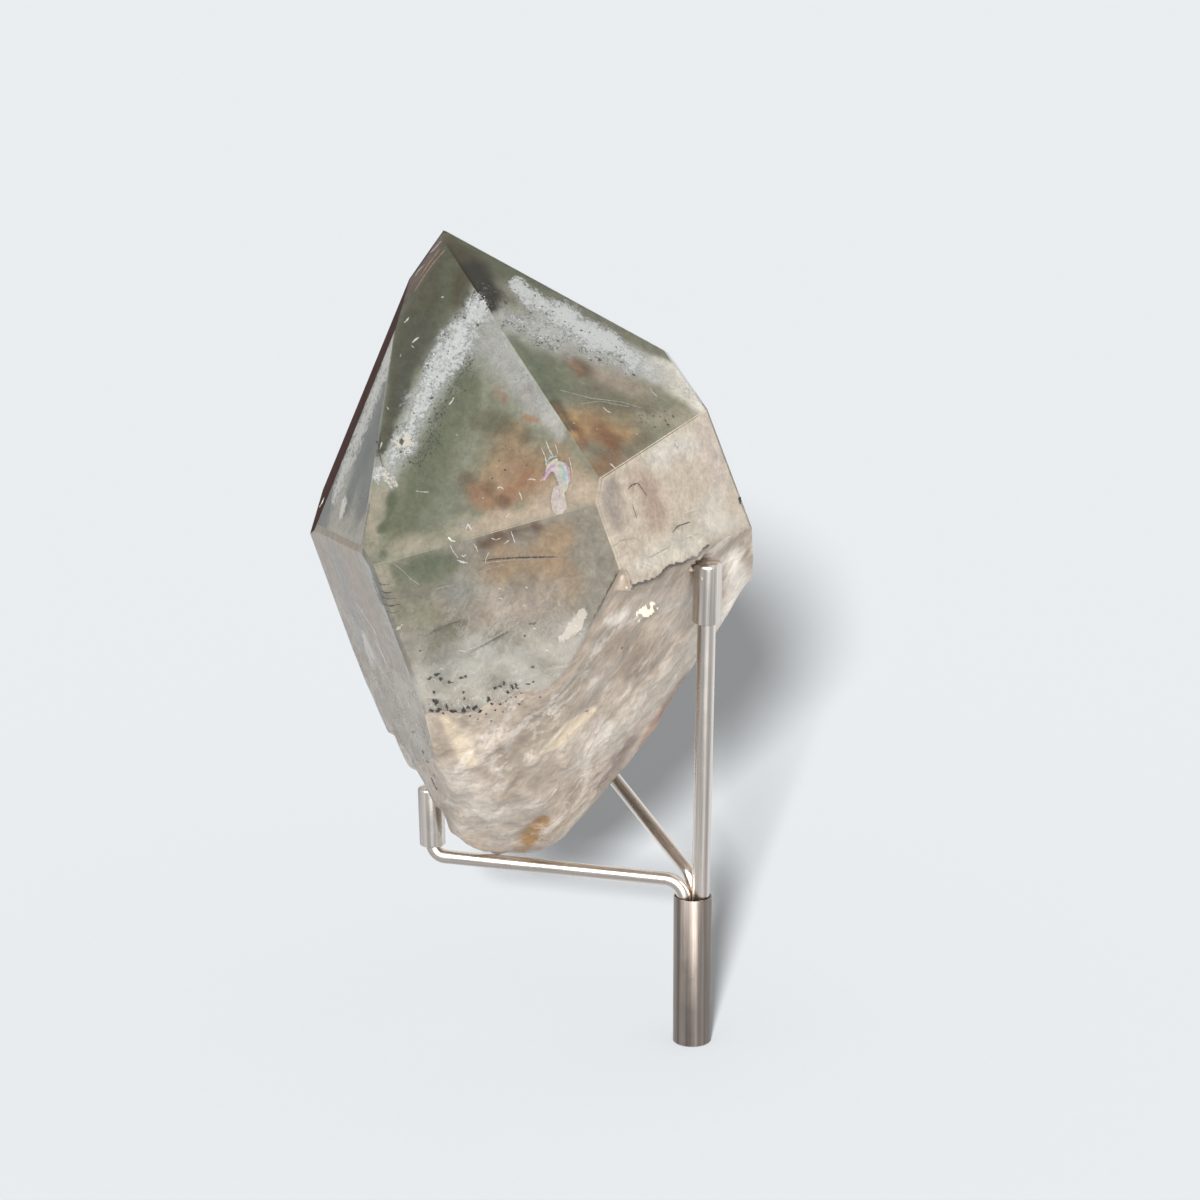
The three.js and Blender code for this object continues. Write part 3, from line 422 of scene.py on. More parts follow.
# Thin cracks and glints: face, colour, depth, points (right, down, half width)
# [slivers]
SLIVERS = [
    ("frontPoint", "glint", 0.5, [(441, 297, 0.75), (444, 297, 0.75)]),
    ("frontPoint", "glint", 0.5, [(412, 343, 0.5), (415, 340, 0.75), (419, 337, 1.1)]),
    ("frontPoint", "glint", 0.5, [(411, 345, 0.4), (414, 348, 0.5)]),
    ("frontPoint", "glint", 0.5, [(404, 323, 0.45), (407, 320, 0.75), (409, 317, 0.4)]),
    ("frontPoint", "glint", 0.5, [(449, 405, 0.5), (452, 401, 1), (454, 397, 0.4)]),
    ("frontPoint", "glint", 0.5, [(456, 435, 0.65), (458, 435, 0.65)]),
    ("frontPoint", "glint", 0.5, [(382, 442, 0.6), (380, 449, 0.4)]),
    ("frontPoint", "glint", 0.5, [(416, 491, 0.35), (422, 492, 0.3), (429, 492, 0.5)]),
    ("frontPoint", "glint", 0.5, [(497, 488, 0.4), (501, 487, 0.6), (504, 490, 0.4)]),
    ("frontPoint", "glint", 0.5, [(482, 498, 0.65), (484, 498, 0.65)]),
    ("frontPoint", "glint", 0.5, [(519, 492, 0.4), (521, 496, 0.6), (522, 500, 0.35)]),
    ("frontPoint", "glint", 0.5, [(505, 519, 0.3), (508, 515, 0.5), (510, 513, 0.25)]),
    ("frontPoint", "glint", 0.5, [(527, 480, 0.4), (531, 479, 0.75), (536, 480, 0.4)]),
    ("frontPoint", "glint", 0.5, [(466, 529, 0.8), (468, 524, 0.8), (472, 531, 0.5)]),
    ("frontPoint", "glint", 0.5, [(387, 407, 0.5), (389, 410, 0.5)]),
    ("frontPoint", "glint", 0.5, [(401, 354, 0.4), (400, 357, 0.3)]),
    ("frontPoint", "crack", 0.6, [(376, 440, 0.5), (379, 452, 0.6), (383, 468, 0.5)]),
    ("frontPoint", "glint", 0.7, [
        (541, 447, 0.3), (545, 456, 0.5), (547, 467, 0.6), (545, 476, 0.45), (540, 482, 0.3)
    ]),
    ("frontPoint", "glint", 0.7, [(546, 441, 0.3), (549, 449, 0.6), (553, 456, 0.35)]),
    ("frontPoint", "glint", 0.7, [(555, 444, 0.25), (557, 450, 0.45), (558, 455, 0.25)]),
    ("frontPoint", "glint", 0.7, [(569, 457, 0.3), (571, 466, 0.5), (573, 476, 0.3)]),
    ("frontPoint", "iris_base", 0.62, [
        (546, 474, 2), (552, 465, 5), (560, 468, 7), (564, 480, 6), (563, 492, 3)
    ]),
    ("frontPoint", "iris_pink", 0.6, [(556, 486, 3), (558, 496, 7), (559, 506, 8), (557, 514, 4)]),
    # The violet, yellow, blue and green bands are a painted rainbow sheen in a crack, over its pale patch
    ("frontPoint", "iris_violet", 0.5, [(543, 481, 0.8), (548, 472, 2.2), (555, 465, 2)]),
    ("frontPoint", "iris_yellow", 0.5, [(546, 469, 0.8), (551, 462, 1.6), (558, 459, 1)]),
    ("frontPoint", "iris_blue", 0.5, [(546, 463, 0.8), (551, 457, 1.4), (557, 456, 0.8)]),
    ("frontPoint", "iris_green", 0.5, [(559, 463, 0.8), (562, 470, 1.5), (563, 480, 1)]),
    ("frontPoint", "iris_blue", 0.5, [(562, 465, 0.6), (565, 474, 1.2), (566, 484, 0.8)]),
    ("frontPoint", "iris_violet", 0.5, [(566, 462, 0.6), (568.5, 470, 1.1), (569, 480, 0.7)]),
    ("frontPoint", "iris_yellow", 0.5, [(561, 484, 0.6), (563, 490, 1.2), (564, 498, 0.8)]),
    ("frontPoint", "iris_violet", 0.5, [(558, 486, 0.5), (559.5, 491, 0.9), (560, 498, 0.5)]),
    ("rightPoint", "glint", 0.5, [(610, 463, 0.4), (613, 466, 0.75), (616, 469, 0.3)]),
    ("rightPoint", "glint", 0.5, [(603, 407, 0.3), (607, 411, 0.6), (612, 413, 0.3)]),
    ("rightPoint", "crack_pale", 0.9, [
        (560, 390, 0.3), (590, 398, 0.54), (622, 402, 0.54), (642, 408, 0.3)
    ]),
    ("rightPoint", "crack_pale", 0.9, [(580, 404, 0.24), (600, 401, 0.42), (630, 407, 0.3)]),
    ("rightPoint", "glint", 0.5, [(650, 388, 0.35), (653, 393, 0.5), (658, 397, 0.3)]),
    ("rightPoint", "glint", 0.5, [(636, 434, 0.6), (638, 434, 0.6)]),
    ("rightPoint", "glint", 0.5, [(573, 423, 0.5), (575, 423, 0.5)]),
    ("rightPoint", "glint", 0.5, [(596, 429, 0.4), (598, 429, 0.4)]),
    ("rightSide", "glint", 0.5, [(685, 513, 0.4), (690, 511, 1.2), (695, 509, 0.4)]),
    ("rightSide", "glint", 0.5, [(687, 492, 0.25), (688, 500, 0.5), (689, 508, 0.3)]),
    ("rightSide", "glint", 0.5, [(676, 444, 0.75), (678, 445, 0.75)]),
    ("rightSide", "glint", 0.5, [(670, 547, 0.3), (674, 543, 0.8), (679, 541, 0.4)]),
    ("rightSide", "glint", 0.5, [(683, 548, 0.25), (685, 542, 0.6), (686, 537, 0.3)]),
    ("rightSide", "glint", 0.5, [(640, 563, 0.25), (645, 560, 0.7), (651, 558, 0.3)]),
    ("rightSide", "glint", 0.5, [(692, 516, 0.25), (695, 513, 0.5), (699, 512, 0.2)]),
    ("rightSide", "crack", 0.6, [
        (627, 490, 0.4), (632, 485, 0.7), (638, 483, 0.6), (643, 490, 0.7), (647, 496, 0.4)
    ]),
    ("rightSide", "crack", 0.6, [(637, 518, 0.4), (634, 510, 0.6), (632, 503, 0.4)]),
    ("rightSide", "crack", 0.6, [(672, 533, 0.4), (678, 526, 0.7), (690, 522, 0.5)]),
    ("rightSide", "crack_pale", 0.6, [
        (612, 548, 0.3), (620, 541, 0.72), (634, 538, 0.54), (644, 543, 0.3)
    ]),
    ("rightSide", "crack_pale", 0.6, [
        (645, 560, 0.36), (660, 552, 0.6), (676, 543, 0.48), (700, 533, 0.3)
    ]),
    ("rightSide", "crack_pale", 0.6, [(714, 452, 0.24), (717, 460, 0.42), (716, 470, 0.24)]),
    ("frontSide", "crack", 0.5, [
        (482, 561, 0.3), (495, 559, 0.6), (520, 557.5, 0.8), (545, 557, 0.6), (558, 557, 0.3)
    ]),
    ("frontSide", "crack_pale", 0.45, [
        (484, 563, 0.3), (500, 561, 0.48), (524, 559.5, 0.6), (556, 558.5, 0.36)
    ]),
    ("frontSide", "glint", 0.5, [(484, 563.5, 0.25), (492, 562, 0.45), (508, 560.5, 0.2)]),
    ("frontSide", "crack_pale", 0.5, [(474, 574, 0.24), (486, 570, 0.42), (505, 564, 0.3)]),
    ("frontSide", "glint", 0.5, [(448, 537, 0.45), (451, 541, 0.75), (456, 542, 0.45)]),
    ("frontSide", "glint", 0.5, [(450, 545, 0.25), (453, 551, 0.45), (458, 558, 0.6)]),
    ("frontSide", "glint", 0.5, [(457, 560, 0.7), (462, 562, 1.4), (468, 563, 0.9)]),
    ("frontSide", "glint", 0.5, [(461, 555, 0.5), (464, 557, 0.75), (466, 554, 0.4)]),
    ("frontSide", "glint", 0.5, [(473, 543, 0.25), (476, 547, 0.45), (478, 552, 0.25)]),
    ("frontSide", "glint", 0.5, [(485, 563, 0.35), (486, 558, 0.45), (489, 552, 0.25)]),
    ("frontSide", "glint", 0.5, [(491, 538, 0.4), (496, 540, 0.6), (501, 538, 0.3)]),
    ("frontSide", "glint", 0.5, [(504, 544, 0.3), (508, 541, 0.5), (510, 540, 0.25)]),
    ("frontSide", "glint", 0.5, [(511, 531, 0.3), (513, 537, 0.55), (515, 543, 0.3)]),
    ("frontSide", "crack_pale", 0.5, [
        (393, 563, 0.24), (403, 571, 0.54), (412, 580, 0.54), (420, 585, 0.3)
    ]),
    ("frontSide", "crack_pale", 0.5, [(433, 590, 0.24), (443, 587, 0.42), (455, 585, 0.24)]),
    ("frontSide", "crack_pale", 0.5, [(471, 590, 0.3), (468, 600, 0.48), (463, 610, 0.3)]),
    ("frontSide", "crack_pale", 0.5, [(474, 599, 0.3), (482, 600, 0.48), (490, 604, 0.24)]),
    ("frontSide", "glint", 0.5, [(498, 588, 0.8), (501, 589, 1)]),
    ("frontSide", "glint", 0.5, [(499, 598, 0.4), (503, 599, 0.6)]),
    ("frontSide", "glint", 0.5, [(525, 587, 0.8), (528, 588, 0.9)]),
    ("frontSide", "glint", 0.5, [(523, 605, 0.6), (526, 606, 0.7)]),
    ("frontSide", "crack_pale", 0.5, [(548, 592, 0.3), (546, 600, 0.54), (549, 606, 0.3)]),
    ("frontSide", "olive_streak", 0.4, [(424, 637, 0.5), (440, 628, 1.4), (462, 620, 0.8)]),
    ("frontSide", "crack_dark", 0.4, [(466, 655, 0.4), (484, 645, 0.9), (508, 632, 0.7)]),
    ("frontSide", "crack_pale", 0.4, [
        (462, 652, 0.36), (478, 646, 1.08), (500, 634, 0.84), (520, 622, 0.36)
    ]),
    ("frontSide", "glint", 0.4, [(459, 650, 1), (466, 652, 0.8)]),
    ("frontSide", "crack", 0.4, [(377, 582, 0.3), (383, 585, 0.5), (390, 584, 0.3)]),
    ("frontSide", "crack", 0.4, [(379, 590, 0.3), (386, 593, 0.6), (392, 592, 0.3)]),
    ("frontSide", "crack", 0.4, [(381, 597, 0.3), (388, 599, 0.5), (397, 598, 0.3)]),
    ("frontSide", "crack", 0.4, [(383, 604, 0.3), (391, 606, 0.6), (401, 604, 0.3)]),
    ("frontSide", "crack", 0.4, [(386, 611, 0.3), (394, 613, 0.5), (400, 611, 0.3)]),
    ("frontSide", "crack_dark", 0.4, [(372, 578, 0.5), (375, 587, 0.8), (381, 602, 0.7), (384, 606, 0.4)]),
    ("frontSide", "crack_pale", 0.4, [(555, 618, 0.36), (548, 628, 0.6), (543, 640, 0.36)]),
    ("frontSide", "glint", 0.4, [(533, 628, 0.5), (536, 629, 0.6)]),
    ("frontSide", "glint", 0.4, [(545, 650, 0.7), (549, 651, 0.7)]),
    ("frontSide", "glint", 0.4, [(440, 668, 0.6), (443, 669, 0.5)]),
    ("leftSide", "glint", 0.4, [(356, 603, 0.25), (364, 615, 0.6), (374, 630, 0.75), (376, 636, 0.3)]),
    ("leftSide", "glint", 0.4, [(365, 650, 0.5), (370, 658, 1.1), (376, 668, 0.5)]),
    ("leftSide", "crack_dark", 0.25, [(370, 656, 0.6), (373, 661, 1)]),
    ("leftSide", "glint", 0.4, [(376, 641, 0.25), (384, 658, 0.5), (391, 676, 0.25)]),
    ("leftSide", "crack_pale", 0.4, [(331, 552, 0.48), (336, 566, 0.84), (341, 580, 0.48)]),
    ("leftPoint", "glint", 0.4, [(341, 506, 0.5), (342, 513, 1), (341, 521, 0.5)]),
    ("leftPoint", "crack", 0.4, [(369, 503, 0.5), (366, 520, 0.9), (362, 545, 0.5)]),
    ("leftPoint", "glint", 0.4, [(318, 507, 0.5), (321, 502, 0.75), (323, 497, 0.3)]),
    ("leftPoint", "glint", 0.4, [(325, 499, 0.3), (327, 494, 0.6), (328, 490, 0.25)]),
    ("wornApex", "rust", 0.25, [(445, 250, 0.5), (434, 262, 0.9), (424, 276, 0.9), (414, 292, 0.6)]),
    ("wornApex", "rust", 0.25, [(440, 249, 0.4), (430, 262, 0.8), (420, 277, 0.5)]),
    ("wornApex", "crack_pale", 0.25, [(441, 241, 0.48), (436, 247, 0.84), (430, 253, 0.48)]),
    ("wornApex", "crack_pale", 0.25, [(425, 264, 0.36), (419, 270, 0.72), (415, 276, 0.36)]),
]
# [end of slivers]

# Faces out of sight from the front carry the marks of another one, some of them mirrored
MARKS_LIKE = {
    "rearRightPoint": ("rightPoint", -1),
    "rearPoint": ("frontPoint", -1),
    "rearLeftPoint": ("rightPoint", 1),
    "rearRightSide": ("rightSide", -1),
    "rearSide": ("frontSide", -1),
    "rearLeftSide": ("leftSide", 1),
}
FACE_BASE = {
    "frontPoint": "grey_green",
    "rightPoint": "olive_grey",
    "rearRightPoint": "olive_grey",
    "rearPoint": "grey_green",
    "rearLeftPoint": "olive_grey",
    # The left point's dark base is partly painted shade, in place of darker reflections on that face
    "leftPoint": "left_olive_and_painted_shade",
    "frontSide": "warm_grey",
    "rightSide": "pale_beige",
    "rearRightSide": "pale_beige",
    "rearSide": "warm_grey",
    "rearLeftSide": "cool_grey",
    "leftSide": "lilac_grey",
    "wornApex": "mauve",
    "wornLeftEdge": "umber_dark",
}


# Noise
def lattice(x, y, z, seed):
    wave = np.sin(x * 127.1 + y * 311.7 + z * 74.7 + seed * 53.3) * 43758.5453
    return wave - np.floor(wave)


def smooth_noise(points, size, seed=0):
    """Value between 0 and 1 at each point, in cells of about that size."""
    cell = np.asarray(points, float) / size
    low = np.floor(cell)
    part = cell - low
    ease = part * part * (3 - 2 * part)
    total = 0
    for dx in (0, 1):
        for dy in (0, 1):
            for dz in (0, 1):
                weight = (
                    (ease[:, 0] if dx else 1 - ease[:, 0])
                    * (ease[:, 1] if dy else 1 - ease[:, 1])
                    * (ease[:, 2] if dz else 1 - ease[:, 2])
                )
                total = total + weight * lattice(
                    low[:, 0] + dx, low[:, 1] + dy, low[:, 2] + dz, seed
                )
    return total


def layered_noise(points, size, octaves=3, seed=0):
    total, weight, share = 0, 0, 1.0
    for i in range(octaves):
        total = total + share * smooth_noise(points, size / 2**i, seed + i)
        weight += share
        share *= 0.5
    return total / weight


def smoothstep(low, high, value):
    t = np.clip((value - low) / (high - low), 0, 1)
    return t * t * (3 - 2 * t)


# Planes of the crystal
def read_planes():
    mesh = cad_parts["crystal"].data
    count = len(mesh.polygons)
    normals = np.zeros(count * 3)
    centres = np.zeros(count * 3)
    areas = np.zeros(count)
    mesh.polygons.foreach_get("normal", normals)
    mesh.polygons.foreach_get("center", centres)
    mesh.polygons.foreach_get("area", areas)
    normals, centres = normals.reshape(-1, 3), centres.reshape(-1, 3) / MM
    planes = {}
    for name, look in FACE_LOOKS.items():
        look = np.array(look) / np.linalg.norm(look)
        near = normals @ look > math.cos(math.radians(1))
        offsets = np.einsum("ij,ij->i", normals, centres)
        main = np.median(np.repeat(offsets[near], np.maximum(1, (areas[near] * 1e7).astype(int))))
        near &= np.abs(offsets - main) < 0.5
        normal = (normals[near] * areas[near, None]).sum(0)
        normal /= np.linalg.norm(normal)
        offset = ((centres[near] @ normal) * areas[near]).sum() / areas[near].sum()
        planes[name] = (normal, offset)
    return planes


PLANES = read_planes()
PACKED_CRYSTAL = BVHTree.FromObject(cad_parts["crystal"], bpy.context.evaluated_depsgraph_get())


def face_axes(name):
    """To the right and down the face, as seen from outside."""
    normal = Vector(PLANES[name][0])
    down = -(LONG_AXIS - LONG_AXIS.dot(normal) * normal).normalized()
    return np.array(normal.cross(down)), np.array(down)


def sight_line(x, y):
    """Direction of sight through a pixel."""
    across = (x - PICTURE_SIZE / 2) / FOCAL_PIXELS
    up = (PICTURE_SIZE / 2 - y) / FOCAL_PIXELS
    return (AHEAD + Vector((across, 0, 0)) + ABOVE * up).normalized()


def seen_under(name, x, y, depth):
    """Place to the right and down a face, where a pixel's bent line of sight gets to a depth."""
    normal, offset = PLANES[name]
    line, eye = np.array(sight_line(x, y)), np.array(EYE)
    surface = eye + line * ((offset - normal @ eye) / (normal @ line))
    facing = -(line @ normal)
    turn = facing / QUARTZ_IOR - math.sqrt(1 - (1 - facing**2) / QUARTZ_IOR**2)
    bent = line / QUARTZ_IOR + normal * turn
    point = surface - bent * (depth / (bent @ normal))
    across, along = face_axes(name)
    return np.array([(point - np.array(TIP)) @ across, (point - np.array(TIP)) @ along])


def stroke_under(name, depth, points):
    """A stroke's pixels as places and half widths on a face."""
    depth *= THIN_FACES.get(name, 1)
    stroke = []
    for i, (x, y, half) in enumerate(points):
        place = seen_under(name, x, y, depth)
        before, after = points[max(i - 1, 0)], points[min(i + 1, len(points) - 1)]
        run = math.hypot(after[0] - before[0], after[1] - before[1])
        if run:
            ahead = ((after[0] - before[0]) / run, (after[1] - before[1]) / run)
            line = seen_under(name, x + ahead[0], y + ahead[1], depth) - place
            edge = seen_under(name, x - ahead[1] * half, y + ahead[0] * half, depth) - place
            width = abs(edge[0] * line[1] - edge[1] * line[0]) / np.hypot(*line)
        else:
            beside = np.hypot(*(seen_under(name, x + half, y, depth) - place))
            width = math.sqrt(beside * np.hypot(*(seen_under(name, x, y + half, depth) - place)))
        stroke.append((place[0], place[1], width))
    return stroke


def seen_on(surface, x, y):
    """Point of a surface behind a pixel; a pixel beside it takes one nearer the middle."""
    for step in range(40):
        share = step / 100
        nearer = (x + (CRYSTAL_MIDDLE[0] - x) * share, y + (CRYSTAL_MIDDLE[1] - y) * share)
        place, normal, _, _ = surface.ray_cast(EYE * MM, sight_line(*nearer))
        if place:
            return place / MM, normal
    raise ValueError("no surface near this pixel")


def millimetres(pixels, place):
    """Length of so many pixels at a place."""
    return pixels * (place - EYE).dot(AHEAD) / FOCAL_PIXELS


def stroke_on_root(points):
    """A stroke's pixels as places across and up, and half widths, on the break."""
    stroke = []
    for x, y, half in points:
        place, _ = seen_on(PACKED_CRYSTAL, x, y)
        stroke.append((place.x, place.z, millimetres(half, place)))
    return stroke


def on_face(name, right, down, depth=0.0):
    """Point under a face, from its place to the right and down from the tip."""
    across, along = face_axes(name)
    normal, offset = PLANES[name]
    point = np.array(TIP) + across * right + along * down
    return point + normal * (offset - depth - normal @ point)


# Marks
FACE_MARKS = {
    face: [(*mark[:5], stroke_under(face, LAYER_DEPTHS[mark[0]], mark[5])) for mark in marks]
    for face, marks in STROKES.items()
}
ROOT_MARKS = [(*mark[:4], stroke_on_root(mark[4])) for mark in ROOT_STROKES]
LEDGE_MARKS = [(*ledge[:3], stroke_on_root(ledge[3])) for ledge in LEDGES]


def stroke_value(right, down, points, softness, wobble):
    """1 inside a stroke, falling to 0 across its rim."""
    nearest = np.full(len(right), 99.0)
    ends = points if len(points) > 1 else [points[0], points[0]]
    for (ax, ay, aw), (bx, by, bw) in zip(ends[:-1], ends[1:]):
        dx, dy = bx - ax, by - ay
        length = max(dx * dx + dy * dy, 1e-6)
        t = np.clip(((right - ax) * dx + (down - ay) * dy) / length, 0, 1)
        away = np.hypot(right - ax - t * dx, down - ay - t * dy) + wobble
        nearest = np.minimum(nearest, away / (aw + t * (bw - aw)))
    return 1 - smoothstep(1 - softness, 1 + softness, nearest)


def marks_of(name, layer):
    source, mirror = MARKS_LIKE.get(name, (name, 1))
    for kind, colour, strength, softness, ragged, points in FACE_MARKS.get(source, []):
        if kind == layer:
            yield colour, strength, softness, ragged, [(mirror * x, y, w) for x, y, w in points]


def face_coordinates(name, points):
    across, along = face_axes(name)
    offset = points - np.array(TIP)
    return offset @ across, offset @ along


def paint(name, layer, points, base):
    """Colour and cover of a layer's marks at points under a face."""
    right, down = face_coordinates(name, points)
    wander = 1.4 * (layered_noise(points, 4.5, 4, 7) - 0.5)
    colour = np.tile(np.array(base, float), (len(points), 1))
    cover = np.zeros(len(points))
    for tint, strength, softness, ragged, stroke in marks_of(name, layer):
        share = strength * stroke_value(right, down, stroke, softness, 2 * ragged * wander)
        colour += (np.array(PALETTE.get(tint, (0, 0, 0))) - colour) * share[:, None]
        cover = np.maximum(cover, share)
    return colour, cover


# Meshes
def make_object(name, points, faces, material=None, smooth=True):
    mesh = bpy.data.meshes.new(name)
    mesh.from_pydata((np.asarray(points) * MM).tolist(), [], faces)
    mesh.update()
    mesh.polygons.foreach_set("use_smooth", [smooth] * len(mesh.polygons))
    piece = bpy.data.objects.new(name, mesh)
    bpy.context.scene.collection.objects.link(piece)
    if material:
        mesh.materials.append(material)
    return piece


def set_colours(piece, name, colours, domain="POINT"):
    attribute = piece.data.color_attributes.new(name, "FLOAT_COLOR", domain)
    values = np.ones((len(colours), 4))
    values[:, :3] = colours
    attribute.data.foreach_set("color", values.ravel())


def set_values(piece, name, values, domain="POINT"):
    attribute = piece.data.attributes.new(name, "FLOAT", domain)
    attribute.data.foreach_set("value", np.asarray(values, np.float32))


def polygon_on(plane, planes):
    """Corners, in order, of the part of a plane that lies inside all the others."""
    normal, offset = plane
    others = [p for p in planes if p is not plane]
    corners = []
    for i, first in enumerate(others):
        for second in others[i + 1:]:
            rows = np.array([normal, first[0], second[0]])
            if abs(np.linalg.det(rows)) < 1e-5:
                continue
            point = np.linalg.solve(rows, [offset, first[1], second[1]])
            if all(n @ point < d + 1e-4 for n, d in others):
                if not any(np.linalg.norm(point - c) < 0.02 for c in corners):
                    corners.append(point)
    if len(corners) < 3:
        return []
    centre = np.mean(corners, axis=0)
    side = np.cross(normal, corners[0] - centre)
    return sorted(
        corners,
        key=lambda c: math.atan2((c - centre) @ side, (c - centre) @ (corners[0] - centre)),
    )


def filled_polygon(corners, normal, spacing):
    """Points and triangles of an even net that fills a flat polygon."""
    centre = np.mean(corners, axis=0)
    across = corners[1] - corners[0]
    across /= np.linalg.norm(across)
    along = np.cross(normal, across)
    flat = np.array([[(c - centre) @ across, (c - centre) @ along] for c in corners])
    rim = []
    for a, b in zip(flat, np.roll(flat, -1, axis=0)):
        steps = max(1, int(round(np.linalg.norm(b - a) / spacing)))
        rim += [a + (b - a) * i / steps for i in range(steps)]
    low, high = flat.min(0), flat.max(0)
    grid = []
    row_height = spacing * math.sqrt(3) / 2
    for row in range(int((high[1] - low[1]) / row_height) + 1):
        y = low[1] + row * row_height
        xs = np.arange(low[0] + (row % 2) * spacing / 2, high[0], spacing)
        grid.append(np.column_stack([xs, np.full(len(xs), y)]))
    grid = np.concatenate(grid)
    keep = np.ones(len(grid), bool)
    for a, b in zip(flat, np.roll(flat, -1, axis=0)):
        edge = (b - a) / np.linalg.norm(b - a)
        keep &= (grid - a) @ np.array([-edge[1], edge[0]]) > 0.45 * spacing
    inner = grid[keep]
    points = [Vector(p) for p in rim] + [Vector(p) for p in inner]
    border = [(i, (i + 1) % len(rim)) for i in range(len(rim))]
    found, _, faces, *_ = delaunay_2d_cdt(points, border, [], 1, 1e-5)
    placed = np.array([centre + across * p[0] + along * p[1] for p in found])
    return placed, [tuple(f) for f in faces]


def inner_planes(depth):
    """The crystal's faces moved inwards, thin faces by a share of the depth."""
    return {
        name: (normal, offset - depth * THIN_FACES.get(name, 1))
        for name, (normal, offset) in PLANES.items()
    }


def rim_distance(points, plane, planes):
    """How far points of one plane lie from the nearest of the others."""
    return np.min([d - points @ n for n, d in planes if (n is not plane[0])], axis=0)


# Materials
def new_material(name):
    material = bpy.data.materials.new(name)
    material.use_nodes = True
    nodes = material.node_tree.nodes
    return material, nodes, material.node_tree.links, nodes["Principled BSDF"]


def add(nodes, kind, **values):
    node = nodes.new(kind)
    for key, value in values.items():
        if isinstance(value, (int, float, str, bool)) and hasattr(node, key):
            setattr(node, key, value)
        else:
            node.inputs[key.replace("_", " ")].default_value = value
    return node


def noise_node(nodes, links, scale, detail=3, roughness=0.55, distortion=0.0, vector=None):
    node = nodes.new("ShaderNodeTexNoise")
    node.inputs["Scale"].default_value = scale
    node.inputs["Detail"].default_value = detail
    node.inputs["Roughness"].default_value = roughness
    node.inputs["Distortion"].default_value = distortion
    if vector is not None:
        links.new(vector, node.inputs["Vector"])
    return node.outputs["Fac"]


def scaled_coordinates(nodes, links, scale=(1, 1, 1), rotation=(0, 0, 0)):
    coordinates = nodes.new("ShaderNodeTexCoord")
    mapping = nodes.new("ShaderNodeMapping")
    mapping.inputs["Scale"].default_value = scale
    mapping.inputs["Rotation"].default_value = rotation
    links.new(coordinates.outputs["Object"], mapping.inputs["Vector"])
    return mapping.outputs["Vector"]


def math_node(nodes, links, operation, a, b=None, clamp=False):
    node = nodes.new("ShaderNodeMath")
    node.operation = operation
    node.use_clamp = clamp
    for socket, value in zip(node.inputs, (a, b)):
        if value is None:
            continue
        if isinstance(value, (int, float)):
            socket.default_value = value
        else:
            links.new(value, socket)
    return node.outputs[0]


def range_node(nodes, links, value, low, high, to_low, to_high):
    node = nodes.new("ShaderNodeMapRange")
    node.interpolation_type = "SMOOTHSTEP"
    links.new(value, node.inputs["Value"])
    for key, number in (
        ("From Min", low), ("From Max", high), ("To Min", to_low), ("To Max", to_high),
    ):
        node.inputs[key].default_value = number
    return node.outputs["Result"]


def mix_colour(nodes, links, factor, a, b, blend="MIX"):
    node = nodes.new("ShaderNodeMix")
    node.data_type = "RGBA"
    node.blend_type = blend
    for key, value in ((0, factor), (6, a), (7, b)):
        if isinstance(value, bpy.types.NodeSocket):
            links.new(value, node.inputs[key])
        elif isinstance(value, (int, float)):
            node.inputs[key].default_value = value
        else:
            node.inputs[key].default_value = (*value, 1)
    return node.outputs[2]


def attribute_node(nodes, name, output):
    node = nodes.new("ShaderNodeAttribute")
    node.attribute_name = name
    return node.outputs[output]


def bump_node(nodes, links, height, strength, distance, before=None):
    node = nodes.new("ShaderNodeBump")
    node.inputs["Strength"].default_value = strength
    node.inputs["Distance"].default_value = distance
    links.new(height, node.inputs["Height"])
    if before is not None:
        links.new(before, node.inputs["Normal"])
    return node.outputs["Normal"]


def length_along(nodes, links, place):
    """Height along the crystal's long axis, in metres."""
    along = nodes.new("ShaderNodeVectorMath")
    along.operation = "DOT_PRODUCT"
    links.new(place, along.inputs[0])
    along.inputs[1].default_value = LONG_AXIS
    return along.outputs["Value"]


def voronoi_node(nodes, links, scale, vector):
    node = nodes.new("ShaderNodeTexVoronoi")
    node.inputs["Scale"].default_value = scale
    links.new(vector, node.inputs["Vector"])
    return node.outputs["Distance"]


def times_colour(nodes, links, colour, factor):
    node = nodes.new("ShaderNodeVectorMath")
    node.operation = "SCALE"
    links.new(colour, node.inputs[0])
    links.new(factor, node.inputs["Scale"])
    return node.outputs[0]


